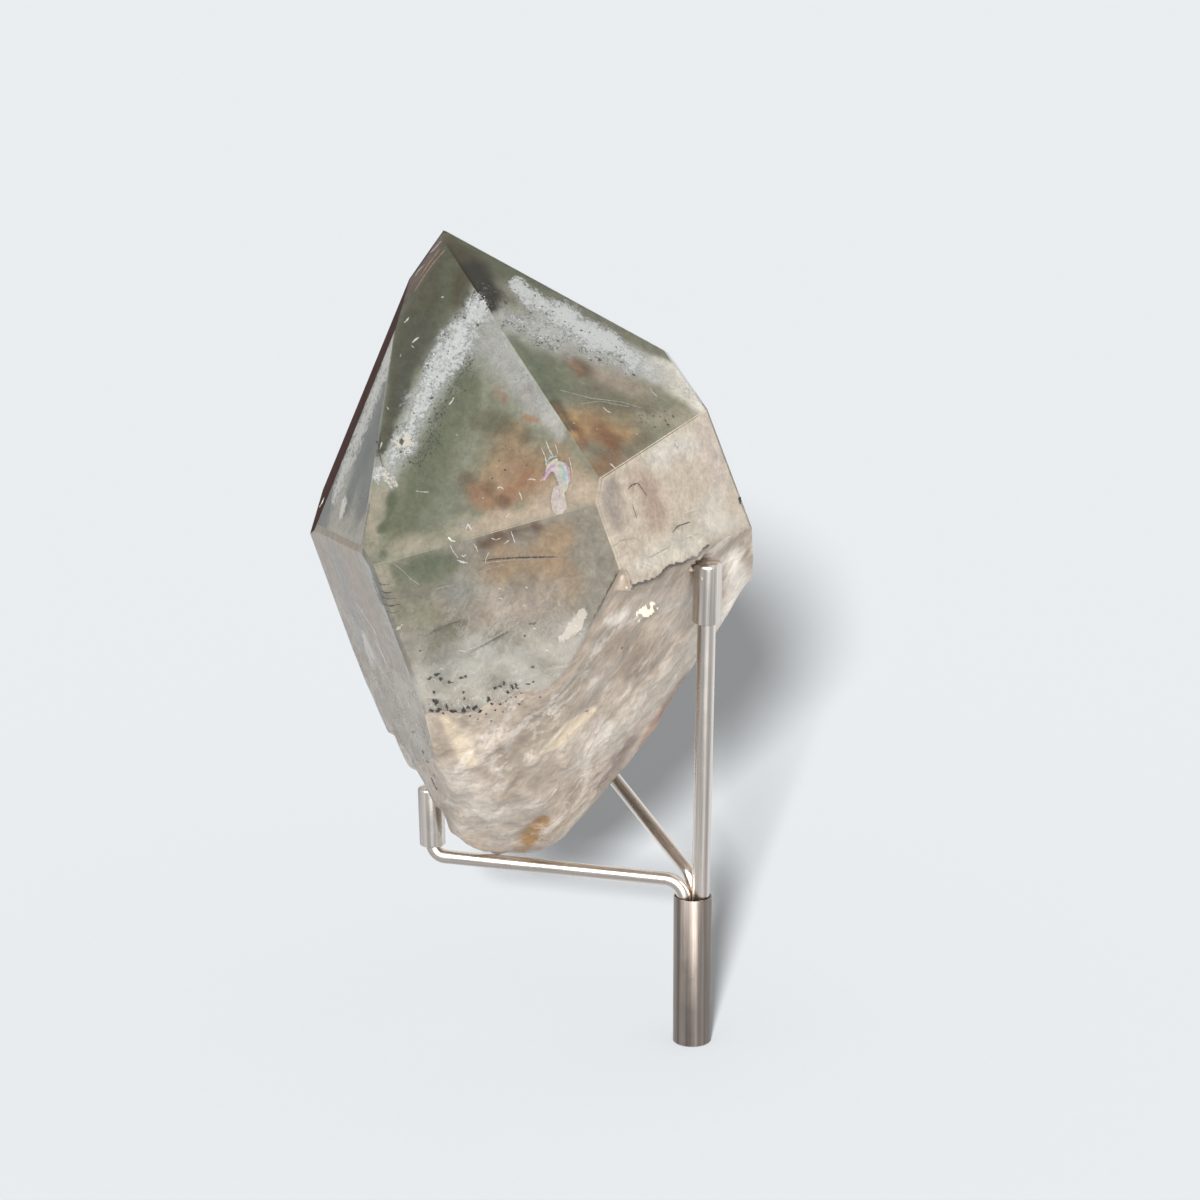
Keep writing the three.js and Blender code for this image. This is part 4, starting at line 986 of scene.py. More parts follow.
def healed_cracks(nodes, links, colour, amount):
    """Pale veins and wisps that run up to the right."""
    mapping = nodes.new("ShaderNodeMapping")
    mapping.vector_type = "TEXTURE"
    mapping.inputs["Rotation"].default_value = (0, math.radians(34), 0)
    mapping.inputs["Scale"].default_value = (1, 1, 2.6)
    links.new(scaled_coordinates(nodes, links), mapping.inputs["Vector"])
    streaky = mapping.outputs[0]
    wisps = noise_node(nodes, links, 420, 6, 0.72, 1.2, streaky)
    wisps = range_node(nodes, links, wisps, 0.36, 0.66, -0.14, 0.12)
    factor = math_node(nodes, links, "ADD", 1.0, math_node(nodes, links, "MULTIPLY", wisps, amount))
    colour = times_colour(nodes, links, colour, factor)
    warp = nodes.new("ShaderNodeTexNoise")
    warp.inputs["Scale"].default_value = 380
    warp.inputs["Detail"].default_value = 4
    warp.inputs["Roughness"].default_value = 0.65
    links.new(streaky, warp.inputs["Vector"])
    bend = nodes.new("ShaderNodeVectorMath")
    bend.operation = "MULTIPLY_ADD"
    links.new(warp.outputs["Color"], bend.inputs[0])
    bend.inputs[1].default_value = (0.007,) * 3
    links.new(streaky, bend.inputs[2])
    patch = noise_node(nodes, links, 90, 3, 0.6, 0.5, streaky)
    for scale, vein, share in ((95, (0.82, 0.77, 0.70), 0.4), (210, (0.86, 0.82, 0.76), 0.34)):
        cells = nodes.new("ShaderNodeTexVoronoi")
        cells.feature = "DISTANCE_TO_EDGE"
        cells.inputs["Scale"].default_value = scale
        links.new(bend.outputs[0], cells.inputs["Vector"])
        line = range_node(nodes, links, cells.outputs["Distance"], 0.0, 0.07, 1.0, 0.0)
        shown = range_node(nodes, links, patch, 0.46, 0.58, 0.0, share)
        line = math_node(nodes, links, "MULTIPLY", math_node(nodes, links, "MULTIPLY", line, shown), amount)
        colour = mix_colour(nodes, links, line, colour, vein)
    return colour


def quartz_material():
    material, nodes, links, shader = new_material("quartz")
    shader.inputs["IOR"].default_value = QUARTZ_IOR
    place = scaled_coordinates(nodes, links)
    height = length_along(nodes, links, place)
    broken = attribute_node(nodes, "broken", "Fac")
    tint = attribute_node(nodes, "tint", "Color")
    patches = noise_node(nodes, links, 120, 4, 0.6, 0.3, place)
    ragged = math_node(nodes, links, "MULTIPLY", noise_node(nodes, links, 110, 5, 0.65, 0.4, place), 0.03)
    level = math_node(nodes, links, "ADD", height, ragged)
    etched = range_node(nodes, links, level, (FROST_FULL + 5) * MM, (FROST_START + 5) * MM, 1.0, 0.0)

    # Colour: clear, faintly milky where etched, stained where broken
    mottle = range_node(nodes, links, noise_node(nodes, links, 260, 5, 0.6, 0.4, place), 0.3, 0.7, 0.86, 1.1)
    stained = healed_cracks(nodes, links, times_colour(nodes, links, tint, mottle), broken)
    milky = mix_colour(nodes, links, patches, (0.97, 0.93, 0.87), (0.90, 0.87, 0.80))
    clear = mix_colour(nodes, links, etched, (0.97, 0.975, 0.97), milky)
    clear = mix_colour(nodes, links, range_node(nodes, links, level, RIM_FULL * MM, RIM_START * MM, 1.0, 0.0), clear, (0.56, 0.51, 0.45))
    faces = mix_colour(nodes, links, attribute_node(nodes, "crust", "Fac"), clear, stained)
    links.new(mix_colour(nodes, links, broken, faces, stained), shader.inputs["Base Color"])

    # Cloudiness takes the place of transmission
    thick = math_node(nodes, links, "MULTIPLY", broken, range_node(nodes, links, patches, 0.35, 0.65, 0.66, 0.88))
    thin = math_node(nodes, links, "MULTIPLY", etched, range_node(nodes, links, patches, 0.35, 0.65, 0.06, 0.22))
    rim = range_node(nodes, links, level, RIM_FULL * MM, RIM_START * MM, 0.55, 0.0)
    cloud = math_node(nodes, links, "MAXIMUM", math_node(nodes, links, "MAXIMUM", thick, thin), rim)
    cloud = math_node(nodes, links, "MAXIMUM", cloud, attribute_node(nodes, "crust", "Fac"))
    dull = attribute_node(nodes, "dull", "Fac")
    links.new(range_node(nodes, links, dull, 0.0, 1.0, 0.5, 0.0), shader.inputs["Specular IOR Level"])
    links.new(math_node(nodes, links, "SUBTRACT", 1.0, cloud), shader.inputs["Transmission Weight"])

    rough = math_node(nodes, links, "MULTIPLY", broken, range_node(nodes, links, patches, 0.35, 0.7, 0.32, 0.45))
    rough = math_node(nodes, links, "MAXIMUM", rough, math_node(nodes, links, "MULTIPLY", etched, 0.26))
    smears = range_node(nodes, links, noise_node(nodes, links, 90, 4, 0.7, 0.6, place), 0.45, 0.8, 0.0, 0.07)
    links.new(math_node(nodes, links, "ADD", rough, smears), shader.inputs["Roughness"])

    # Relief too fine for the mesh: striae across the faces, etch pits, chips of the break
    rolls = bump_node(nodes, links, noise_node(nodes, links, 45, 3, 0.5, 0.2, place), 0.12, 0.0006)
    striae = nodes.new("ShaderNodeTexNoise")
    striae.noise_dimensions = "1D"
    striae.inputs["Scale"].default_value = 1.0
    striae.inputs["Detail"].default_value = 4
    wave = math_node(nodes, links, "MULTIPLY", patches, 2.5)
    wave = math_node(nodes, links, "ADD", wave, math_node(nodes, links, "MULTIPLY", height, 800))
    links.new(wave, striae.inputs["W"])
    pits = noise_node(nodes, links, 1100, 4, 0.65, 0.2, place)
    lines = math_node(nodes, links, "MULTIPLY", math_node(nodes, links, "ADD", striae.outputs["Fac"], pits), etched)
    lined = bump_node(nodes, links, lines, 0.45, 0.00035, rolls)
    chips = math_node(nodes, links, "ADD", voronoi_node(nodes, links, 230, place), voronoi_node(nodes, links, 620, place))
    fine = noise_node(nodes, links, 800, 5, 0.65, 0.2, place)
    crumbs = math_node(nodes, links, "MULTIPLY", math_node(nodes, links, "ADD", chips, fine), broken)
    links.new(bump_node(nodes, links, crumbs, 0.4, 0.0004, lined), shader.inputs["Normal"])

    absorption = nodes.new("ShaderNodeVolumeAbsorption")
    absorption.inputs["Color"].default_value = (0.80, 0.83, 0.78, 1)
    absorption.inputs["Density"].default_value = 12
    links.new(absorption.outputs[0], nodes["Material Output"].inputs["Volume"])
    return material


def core_material():
    material, nodes, links, shader = new_material("garden")
    place = scaled_coordinates(nodes, links)
    tint = attribute_node(nodes, "tint", "Color")
    speck = attribute_node(nodes, "speck", "Fac")
    cloudy = range_node(nodes, links, noise_node(nodes, links, 420, 5, 0.65, 0.5, place), 0.25, 0.75, 0.80, 1.18)
    scaled = nodes.new("ShaderNodeVectorMath")
    scaled.operation = "SCALE"
    links.new(tint, scaled.inputs[0])
    finer = range_node(nodes, links, noise_node(nodes, links, 1200, 4, 0.7, 0.4, place), 0.3, 0.7, 0.9, 1.1)
    links.new(math_node(nodes, links, "MULTIPLY", cloudy, finer), scaled.inputs["Scale"])
    grain = noise_node(nodes, links, 1900, 2, 0.6, 0.3, place)
    limit = math_node(nodes, links, "MULTIPLY", speck, 0.22)
    limit = math_node(nodes, links, "ADD", limit, 0.20)
    dark = math_node(nodes, links, "SUBTRACT", limit, grain)
    dark = math_node(nodes, links, "MULTIPLY", dark, 22, clamp=True)
    low = range_node(nodes, links, length_along(nodes, links, place), 0.104, 0.132, 1.0, 0.0)
    crackled = healed_cracks(nodes, links, scaled.outputs[0], math_node(nodes, links, "MULTIPLY", low, 0.8))
    colour = mix_colour(nodes, links, dark, crackled, (0.045, 0.055, 0.035))
    links.new(colour, shader.inputs["Base Color"])
    shader.inputs["Roughness"].default_value = 0.85
    shader.inputs["Specular IOR Level"].default_value = 0.0
    height = noise_node(nodes, links, 700, 4, 0.6, 0.3, place)
    links.new(bump_node(nodes, links, height, 0.5, 0.0004), shader.inputs["Normal"])
    return material


def veil_material():
    material, nodes, links, shader = new_material("snow_veil")
    place = scaled_coordinates(nodes, links)
    tint = attribute_node(nodes, "tint", "Color")
    cover = attribute_node(nodes, "cover", "Fac")
    speck = attribute_node(nodes, "speck", "Fac")
    fine = noise_node(nodes, links, 1300, 4, 0.6, 0.7, place)
    broad = noise_node(nodes, links, 380, 3, 0.6, 0.5, place)
    fine = range_node(nodes, links, fine, 0.32, 0.68, 0.0, 0.62)
    broad = range_node(nodes, links, broad, 0.32, 0.68, 0.0, 0.38)
    both = math_node(nodes, links, "ADD", fine, broad)
    dense = math_node(nodes, links, "MULTIPLY", cover, 1.3)
    dense = math_node(nodes, links, "SUBTRACT", dense, math_node(nodes, links, "MULTIPLY", both, 0.72))
    dense = range_node(nodes, links, dense, 0.0, 0.72, 0.0, 0.9)
    grain = noise_node(nodes, links, 1500, 3, 0.6, 0.4, place)
    limit = math_node(nodes, links, "ADD", math_node(nodes, links, "MULTIPLY", speck, 0.22), 0.20)
    dark = math_node(nodes, links, "SUBTRACT", limit, grain)
    dark = math_node(nodes, links, "MULTIPLY", dark, 12, clamp=True)
    colour = mix_colour(nodes, links, dark, tint, (0.11, 0.12, 0.09))
    links.new(colour, shader.inputs["Base Color"])
    links.new(math_node(nodes, links, "MAXIMUM", dense, dark), shader.inputs["Alpha"])
    shader.inputs["Roughness"].default_value = 0.8
    shader.inputs["Specular IOR Level"].default_value = 0.0
    return material


def sliver_material():
    material, nodes, links, shader = new_material("sliver")
    tint = attribute_node(nodes, "tint", "Color")
    cloudy = noise_node(nodes, links, 1500, 3, 0.6, 0.3, scaled_coordinates(nodes, links))
    shade = range_node(nodes, links, cloudy, 0.3, 0.7, 0.75, 1.0)
    scaled = nodes.new("ShaderNodeVectorMath")
    scaled.operation = "SCALE"
    links.new(tint, scaled.inputs[0])
    links.new(shade, scaled.inputs["Scale"])
    links.new(scaled.outputs[0], shader.inputs["Base Color"])
    shader.inputs["Roughness"].default_value = 0.35
    return material


def plain_material(name, colour, roughness, grain_scale, spread=0.3):
    material, nodes, links, shader = new_material(name)
    place = scaled_coordinates(nodes, links)
    cloudy = noise_node(nodes, links, grain_scale, 3, 0.6, 0.2, place)
    light = tuple(min(1, c * (1 + spread)) for c in colour)
    dark = tuple(c * (1 - spread) for c in colour)
    links.new(mix_colour(nodes, links, cloudy, dark, light), shader.inputs["Base Color"])
    shader.inputs["Roughness"].default_value = roughness
    return material


def steel_tone(nodes, colour):
    tone = nodes.new("ShaderNodeRGB")
    tone.outputs[0].default_value = (*colour, 1)
    return tone.outputs[0]


def steel_material(name, colour, roughness, streak_scale, streak_depth):
    material, nodes, links, shader = new_material(name)
    shader.inputs["Metallic"].default_value = 1.0
    drawn = attribute_node(nodes, "drawn", "Vector")
    streaks = noise_node(nodes, links, streak_scale, 5, 0.65, 0.0, drawn)
    blotches = noise_node(nodes, links, 160, 3, 0.6, 0.2, scaled_coordinates(nodes, links))
    # Broad lengthwise bands of lighter and darker tone round each bar: painted reflections of the surroundings
    broad = range_node(nodes, links, noise_node(nodes, links, 0.55, 2, 0.5, 0.0, drawn), 0.35, 0.65, 0.62, 1.35)
    fine = range_node(nodes, links, streaks, 0.3, 0.7, 0.86, 1.12)
    tone = times_colour(nodes, links, steel_tone(nodes, colour), math_node(nodes, links, "MULTIPLY", broad, fine))
    links.new(tone, shader.inputs["Base Color"])
    rough = range_node(nodes, links, blotches, 0.3, 0.7, roughness - 0.05, roughness + 0.07)
    links.new(rough, shader.inputs["Roughness"])
    links.new(bump_node(nodes, links, streaks, streak_depth, 0.00006), shader.inputs["Normal"])
    return material


# Crystal body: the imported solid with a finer, rougher surface where it is broken
def crystal_body(material):
    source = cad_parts["crystal"].data
    net = bmesh.new()
    net.from_mesh(source)
    bmesh.ops.remove_doubles(net, verts=net.verts, dist=1e-6)
    flat = net.faces.layers.int.new("flat")
    planes = list(PLANES.values())
    for face in net.faces:
        normal = np.array(face.normal)
        centre = np.array(face.calc_center_median()) / MM
        face[flat] = int(any(
            normal @ n > 0.9998 and abs(centre @ n - d) < 0.05 for n, d in planes
        ))
    edges = [e for e in net.edges if any(not f[flat] for f in e.link_faces)]
    long_edges = [e for e in edges if e.calc_length() > 0.8 * MM]
    bmesh.ops.subdivide_edges(net, edges=long_edges, cuts=1, use_grid_fill=True)
    edges = [e for e in net.edges if any(not f[flat] for f in e.link_faces)]
    long_edges = [e for e in edges if e.calc_length() > 0.8 * MM]
    bmesh.ops.subdivide_edges(net, edges=long_edges, cuts=1, use_grid_fill=True)
    bmesh.ops.triangulate(net, faces=[f for f in net.faces if not f[flat]])
    net.verts.ensure_lookup_table()
    free = [v for v in net.verts if not any(f[flat] for f in v.link_faces)]
    for _ in range(3):
        bmesh.ops.smooth_vert(net, verts=free, factor=0.5, use_axis_x=True, use_axis_y=True, use_axis_z=True)
    net.normal_update()
    points = np.array([v.co for v in net.verts]) / MM
    normals = np.array([v.normal for v in net.verts])
    held = np.array([any(f[flat] for f in v.link_faces) for v in net.verts])
    ease = root_ease(points, held)
    lift = root_relief(points) * ease
    points += normals * lift[:, None]
    for v, p in zip(net.verts, points):
        v.co = Vector(p * MM)
    for face in net.faces:
        face.smooth = not face[flat]
    broken = np.array([not all(f[flat] for f in v.link_faces) for v in net.verts], float)
    flags = [bool(f[flat]) for f in net.faces]
    mesh = bpy.data.meshes.new("quartz_point")
    net.to_mesh(mesh)
    net.free()
    piece = bpy.data.objects.new("quartz_point", mesh)
    bpy.context.scene.collection.objects.link(piece)
    mesh.materials.append(material)
    attribute = mesh.attributes.new("broken", "FLOAT", "FACE")
    attribute.data.foreach_set("value", np.array([0.0 if f else 1.0 for f in flags], np.float32))
    worn_normal = PLANES["wornLeftEdge"][0]
    crust = [1.0 if np.array(f.normal) @ worn_normal > 0.9998 else 0.0 for f in mesh.polygons]
    attribute = mesh.attributes.new("crust", "FLOAT", "FACE")
    attribute.data.foreach_set("value", np.array(crust, np.float32))
    dull = np.array([0.0 if flag else BROKEN_DULLNESS for flag in flags], np.float32)
    for name, share in DULL_FACES.items():
        on_face_plane = [np.array(f.normal) @ PLANES[name][0] > 0.9998 for f in mesh.polygons]
        dull[np.array(on_face_plane)] = share
    attribute = mesh.attributes.new("dull", "FLOAT", "FACE")
    attribute.data.foreach_set("value", dull)
    colours = root_colours(points)
    on_edge = np.array([abs(p @ worn_normal - PLANES["wornLeftEdge"][1]) < 0.05 for p in points])
    colours[on_edge] = PALETTE["umber_crust"]
    set_colours(piece, "tint", colours)
    return piece


def root_ease(points, held):
    """0 where the broken surface meets a flat face, rising to 1 a little way in."""
    tree = KDTree(int(held.sum()))
    for i, point in enumerate(points[held]):
        tree.insert(point, i)
    tree.balance()
    away = np.array([tree.find(p)[2] if not h else 0 for p, h in zip(points, held)])
    return smoothstep(0, 1.6, away)


def root_relief(points):
    """Streaky ledges that run up to the right, low rolls and the ledges seen from the front."""
    across = points @ np.array([0.825, 0, -0.564])
    along = points @ np.array([0.564, 0, 0.825])
    streaky = np.column_stack([across, points[:, 1], along * 0.3])
    step = (across + 5 * layered_noise(points, 10, 3, 3)) / 4.2
    part = step - np.floor(step)
    ledge = part * (1 - smoothstep(0.7, 1.0, part)) * smooth_noise(points, 8, 5)
    ridges = layered_noise(streaky, 2.2, 3, 11) - 0.5
    rolls = layered_noise(points, 9, 2, 17) - 0.5
    lift = -0.25 * ledge + 0.15 * ridges + 0.7 * rolls - 0.2
    wander = layered_noise(points, 4.5, 4, 7) - 0.5
    for height, softness, ragged, stroke in LEDGE_MARKS:
        share = stroke_value(points[:, 0], points[:, 2], stroke, softness, 2 * ragged * wander)
        lift += 0.7 * height * share * (points[:, 1] < 15)
    return np.minimum(lift, 0.3)


def root_colours(points):
    broad = layered_noise(points, 16, 3, 21)
    fine = layered_noise(points, 3, 3, 25)
    grey, warm, dull = (np.array(PALETTE[name]) for name in ("root_grey", "root_warm", "root_dull"))
    colour = grey + (warm - grey) * smoothstep(0.45, 0.7, broad)[:, None]
    colour += (dull - colour) * smoothstep(0.5, 0.8, fine)[:, None] * 0.6
    wander = layered_noise(points, 4.5, 4, 7) - 0.5
    for tint, strength, softness, ragged, stroke in ROOT_MARKS:
        share = stroke_value(points[:, 0], points[:, 2], stroke, softness, 2 * ragged * wander)
        share *= strength * (points[:, 1] < 15)
        colour += (np.array(PALETTE[tint]) - colour) * share[:, None]
    return colour


# Inclusions
def core_net():
    """An even net over the whole crystal, to be drawn in to the core."""
    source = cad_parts["crystal"]
    copy = bpy.data.objects.new("core_net", source.data.copy())
    bpy.context.scene.collection.objects.link(copy)
    remesh = copy.modifiers.new("even", "REMESH")
    remesh.mode = "VOXEL"
    remesh.voxel_size = CORE_GRAIN * MM
    evaluated = copy.evaluated_get(bpy.context.evaluated_depsgraph_get())
    mesh = bpy.data.meshes.new_from_object(evaluated)
    bpy.data.objects.remove(copy)
    return mesh


CORE_GRAIN = 1.0


def drawn_in(points, shell, depth, root_depth):
    """Moves points inwards until they lie deep enough under every face and break."""
    for _ in range(6):
        for name, (normal, offset) in PLANES.items():
            over = points @ normal - offset + depth * THIN_FACES.get(name, 1)
            points = points - normal * np.maximum(0, over)[:, None]
    flat = np.array([normal for normal, _ in PLANES.values()])
    for i, point in enumerate(points):
        near, normal, _, _ = shell.find_nearest(Vector(point * MM))
        rise = (Vector(point * MM) - near).dot(normal) / MM
        if rise > -root_depth and (flat @ np.array(normal)).max() < 0.9998:
            points[i] = np.array(near - normal * root_depth * MM) / MM
    return points


def nearest_face(points):
    """Name of the face that each point lies under, and how deep."""
    names = list(PLANES)
    depths = np.array([PLANES[n][1] - points @ PLANES[n][0] for n in names])
    nearest = depths.argmin(0)
    return names, nearest, depths.min(0)


def garden_core(material, shell):
    mesh = core_net()
    count = len(mesh.vertices)
    points = np.zeros(count * 3)
    mesh.vertices.foreach_get("co", points)
    points = points.reshape(-1, 3) / MM
    points = drawn_in(points, shell, CORE_DEPTH, ROOT_CORE_DEPTH)
    mesh.vertices.foreach_set("co", (points * MM).ravel())
    mesh.update()

    names, nearest, depth = nearest_face(points)
    under_face = depth < CORE_DEPTH + 0.5
    colours = root_colours(points)
    for i, name in enumerate(names):
        here = (nearest == i) & under_face
        if here.any():
            colours[here] = paint(name, "core", points[here], PALETTE[FACE_BASE[name]])[0]
    mesh.name = "garden_core"
    mesh.materials.clear()
    mesh.materials.append(material)
    mesh.polygons.foreach_set("use_smooth", [True] * len(mesh.polygons))
    piece = bpy.data.objects.new("garden_core", mesh)
    bpy.context.scene.collection.objects.link(piece)
    set_colours(piece, "tint", colours)
    set_values(piece, "speck", np.zeros(count))
    return piece


def face_nets(name, depth, spacing, wanted, shell, clear, wave_height, material):
    """Nets under the faces, painted by a function and kept where it wants them."""
    inner = inner_planes(depth)
    planes = list(inner.values())
    points, triangles, colours, covers, specks = [], [], [], [], []
    total = 0
    for face, plane in inner.items():
        corners = polygon_on(plane, planes + [BELOW])
        if not corners:
            continue
        net, net_faces = filled_polygon(corners, plane[0], spacing)
        colour, cover, speck, shown = wanted(face, net)
        shown = shown & well_inside(net, shell, clear)
        kept = [f for f in net_faces if shown[list(f)].all()]
        if not kept:
            continue
        used = sorted({i for f in kept for i in f})
        place = {old: new + total for new, old in enumerate(used)}
        ease = smoothstep(0.2, 2.0, rim_distance(net, plane, planes))
        wave = wave_height * (layered_noise(net, 5, 3, 37) - 0.5) * ease
        moved = net + plane[0] * wave[:, None]
        points.append(moved[used])
        triangles += [tuple(place[i] for i in f) for f in kept]
        colours.append(colour[used])
        covers.append(cover[used])
        specks.append(speck[used])
        total += len(used)
    piece = make_object(name, np.concatenate(points), triangles, material)
    set_colours(piece, "tint", np.concatenate(colours))
    set_values(piece, "cover", np.concatenate(covers))
    set_values(piece, "speck", np.concatenate(specks))
    return piece


def garden_faces(material, shell):
    """The garden's outer sheets, with sharp edges between them."""
    def wanted(face, net):
        colour, _ = paint(face, "core", net, PALETTE[FACE_BASE[face]])
        speck = paint(face, "speck", net, (0, 0, 0))[1]
        return colour, np.ones(len(net)), speck, np.ones(len(net), bool)

    return face_nets("garden_faces", CORE_DEPTH - 0.08, 0.62, wanted, shell, 0.25, 0.0, material)


def snow_veils(material, shell):
    """White sheets above the garden, cut away where they hold nothing."""
    def wanted(face, net):
        colour, cover = paint(face, "veil", net, PALETTE["white"])
        speck = paint(face, "speck", net, (0, 0, 0))[1]
        return colour, cover, speck, np.maximum(cover, speck) > 0.02

    return face_nets("snow_veils", VEIL_DEPTH, 0.8, wanted, shell, 0.12, 0.5, material)


# Lowest plane of the nets, far enough down to hold the whole root
BELOW = (-np.array(LONG_AXIS), -40.0)


def well_inside(points, shell, depth):
    inside = np.zeros(len(points), bool)
    for i, point in enumerate(points):
        near, normal, _, _ = shell.find_nearest(Vector(point * MM))
        inside[i] = (Vector(point * MM) - near).dot(normal) < -depth * MM
    return inside


GRAIN_CORNERS = np.array([
    (1, 0, 0), (-1, 0, 0), (0, 1, 0), (0, -1, 0), (0, 0, 1), (0, 0, -1),
], float)
GRAIN_FACES = np.array([
    (0, 2, 4), (2, 1, 4), (1, 3, 4), (3, 0, 4), (2, 0, 5), (1, 2, 5), (3, 1, 5), (0, 3, 5),
])


def grains(name, count, layer, material, size, depths, shell, threshold=0.0):
    """Small angular grains under the faces, thickest where a layer's marks are."""
    inner = inner_planes(depths[1])
    planes = list(inner.values())
    spots, looks, weights = [], [], []
    for face, plane in inner.items():
        corners = polygon_on(plane, planes + [BELOW])
        if not corners:
            continue
        net, _ = filled_polygon(corners, plane[0], 0.7)
        net = net[well_inside(net, shell, 0.3)]
        _, density = paint(face, layer, net, (0, 0, 0))
        clump = smoothstep(0.42, 0.75, layered_noise(net, 2.2, 3, 43))
        spots.append(net)
        looks.append(np.tile(plane[0], (len(net), 1)))
        weights.append(np.where(density > threshold, density, 0) * (0.1 + clump))
    spots, looks, weights = map(np.concatenate, (spots, looks, weights))
    chosen = rng.choice(len(spots), count, p=weights / weights.sum())
    normal = looks[chosen]
    side = np.cross(normal, rng.normal(size=(count, 3)))
    side /= np.linalg.norm(side, axis=1)[:, None]
    other = np.cross(normal, side)
    place = spots[chosen]
    place += side * rng.uniform(-0.5, 0.5, count)[:, None]
    place += other * rng.uniform(-0.5, 0.5, count)[:, None]
    place += normal * (rng.random(count) * (depths[1] - depths[0]))[:, None]
    radius = size * np.exp(rng.normal(0, 0.45, count))
    stretch = rng.uniform(0.5, 1.6, (count, 2))
    basis = np.stack([side * stretch[:, :1], other * stretch[:, 1:], normal * 0.45], axis=1)
    shape = GRAIN_CORNERS[None] * rng.uniform(0.7, 1.2, (count, 6, 1))
    corners = np.einsum("nij,njk->nik", shape, basis) * radius[:, None, None] + place[:, None]
    inside = np.all([corners.reshape(-1, 3) @ n < d - 0.12 for n, d in PLANES.values()], axis=0)
    inside = inside.reshape(count, 6).all(1)
    corners = corners[inside]
    triangles = (np.arange(len(corners))[:, None, None] * 6 + GRAIN_FACES[None]).reshape(-1, 3)
    return make_object(name, corners.reshape(-1, 3), triangles.tolist(), material, smooth=False)


def slivers(material):
    """Thin closed spindles under the faces, for cracks and glints."""
    points, faces, colours = [], [], []
    for name, tint, depth, pixels in SLIVERS:
        normal = PLANES[name][0]
        line, spine = [], []
        for x, y, half in pixels:
            place = seen_under(name, x, y, depth)
            beside = np.hypot(*(seen_under(name, x + half, y, depth) - place))
            below = np.hypot(*(seen_under(name, x, y + half, depth) - place))
            line.append((*place, min(beside, below)))
        for (ar, ad, aw), (br, bd, bw) in zip(line[:-1], line[1:]):
            steps = max(2, int(math.hypot(br - ar, bd - ad) / 0.25))
            for i in range(steps):
                t = i / steps
                spine.append((ar + (br - ar) * t, ad + (bd - ad) * t, aw + (bw - aw) * t))
        spine.append(line[-1])
        places = [np.array(on_face(name, right, down, depth)) for right, down, _ in spine]
        first = len(points)
        for i, place in enumerate(places):
            ahead = places[min(i + 1, len(places) - 1)] - places[max(i - 1, 0)]
            side = np.cross(normal, ahead / np.linalg.norm(ahead))
            ragged = rng.uniform(0.35, 1.5) if spine[i][2] < 0.45 else 1
            half = spine[i][2] * ragged * (0.3 if i in (0, len(places) - 1) else 1)
            place = place + side * rng.normal(0, min(0.05, 0.12 * spine[i][2]))
            thick = min(0.5 * half, 0.12)
            points += [place + side * half, place + normal * thick, place - side * half, place - normal * thick]
            colours += [PALETTE[tint]] * 4
        for i in range(len(places) - 1):
            for k in range(4):
                a, b = first + 4 * i + k, first + 4 * i + (k + 1) % 4
                faces.append((a, b, b + 4, a + 4))
        faces.append(tuple(first + k for k in (3, 2, 1, 0)))
        faces.append(tuple(first + 4 * (len(places) - 1) + k for k in range(4)))
    piece = make_object("slivers", points, faces, material, smooth=False)
    set_colours(piece, "tint", np.array(colours))
    return piece


def flecks(material, shell):
    """Dark ragged flecks, let into the surface."""
    points, faces = [], []
    sides = 13
    for x, y, half_width, half_height in FLECKS:
        place, normal = seen_on(shell, x, y)
        half_width, half_height = millimetres(half_width, place), millimetres(half_height, place)
        side = normal.cross(Vector((0, 0, 1))).normalized()
        other = side.cross(normal)
        first = len(points)
        for k in range(sides):
            angle = 2 * math.pi * k / sides
            reach = rng.uniform(0.25, 1.5)
            rim = place - side * math.cos(angle) * half_width * reach
            rim += other * math.sin(angle) * half_height * reach
            points += [rim - normal * 0.25, rim + normal * 0.03]
        points += [place - normal * 0.3, place + normal * 0.09]
        for k in range(sides):
            a, b = first + 2 * k, first + 2 * ((k + 1) % sides)
            faces += [(a, b, b + 1, a + 1), (b, a, first + 2 * sides), (a + 1, b + 1, first + 2 * sides + 1)]
    return make_object("flecks", points, faces, material, smooth=False)


# Steel stand
POST_FOOT = Vector((1.6, 0.15, 28.2))
POST_TOP = Vector((2.42, -10, 110.2))
FRONT_ARM = [Vector(p) for p in ((-1.95, -0.8, 28.2), (-1.95, -0.8, 37), (-57, 17, 37))]
FRONT_TOP = Vector((-57.4, 17, 53))
REAR_ARM = [Vector(p) for p in ((-0.15, 1.95, 28.2), (-0.15, 1.95, 37.2), (-27, 45, 59.5))]
REAR_TOP = Vector((-27, 45, 76))
BENDS = (4, 3)
CAP_LENGTH = 13.5
BORE_DEPTH = 9
CAP_ROUND = 0.9


def bent_line(corners, radii, step=0.35):
    """Points along straight runs joined by arcs."""
    line = [corners[0]]
    for before, corner, after, radius in zip(corners, corners[1:], corners[2:], radii):
        back = (before - corner).normalized()
        ahead = (after - corner).normalized()
        half = back.angle(ahead) / 2
        inward = (back + ahead).normalized()
        centre = corner + inward * (radius / math.sin(half))
        start = corner + back * (radius / math.tan(half)) - centre
        end = corner + ahead * (radius / math.tan(half)) - centre
        turn = start.cross(end).normalized()
        angle = start.angle(end)
        steps = max(6, int(angle * radius / step))
        for i in range(steps + 1):
            line.append(centre + Matrix.Rotation(angle * i / steps, 3, turn) @ start)
    line.append(corners[-1])
    return line


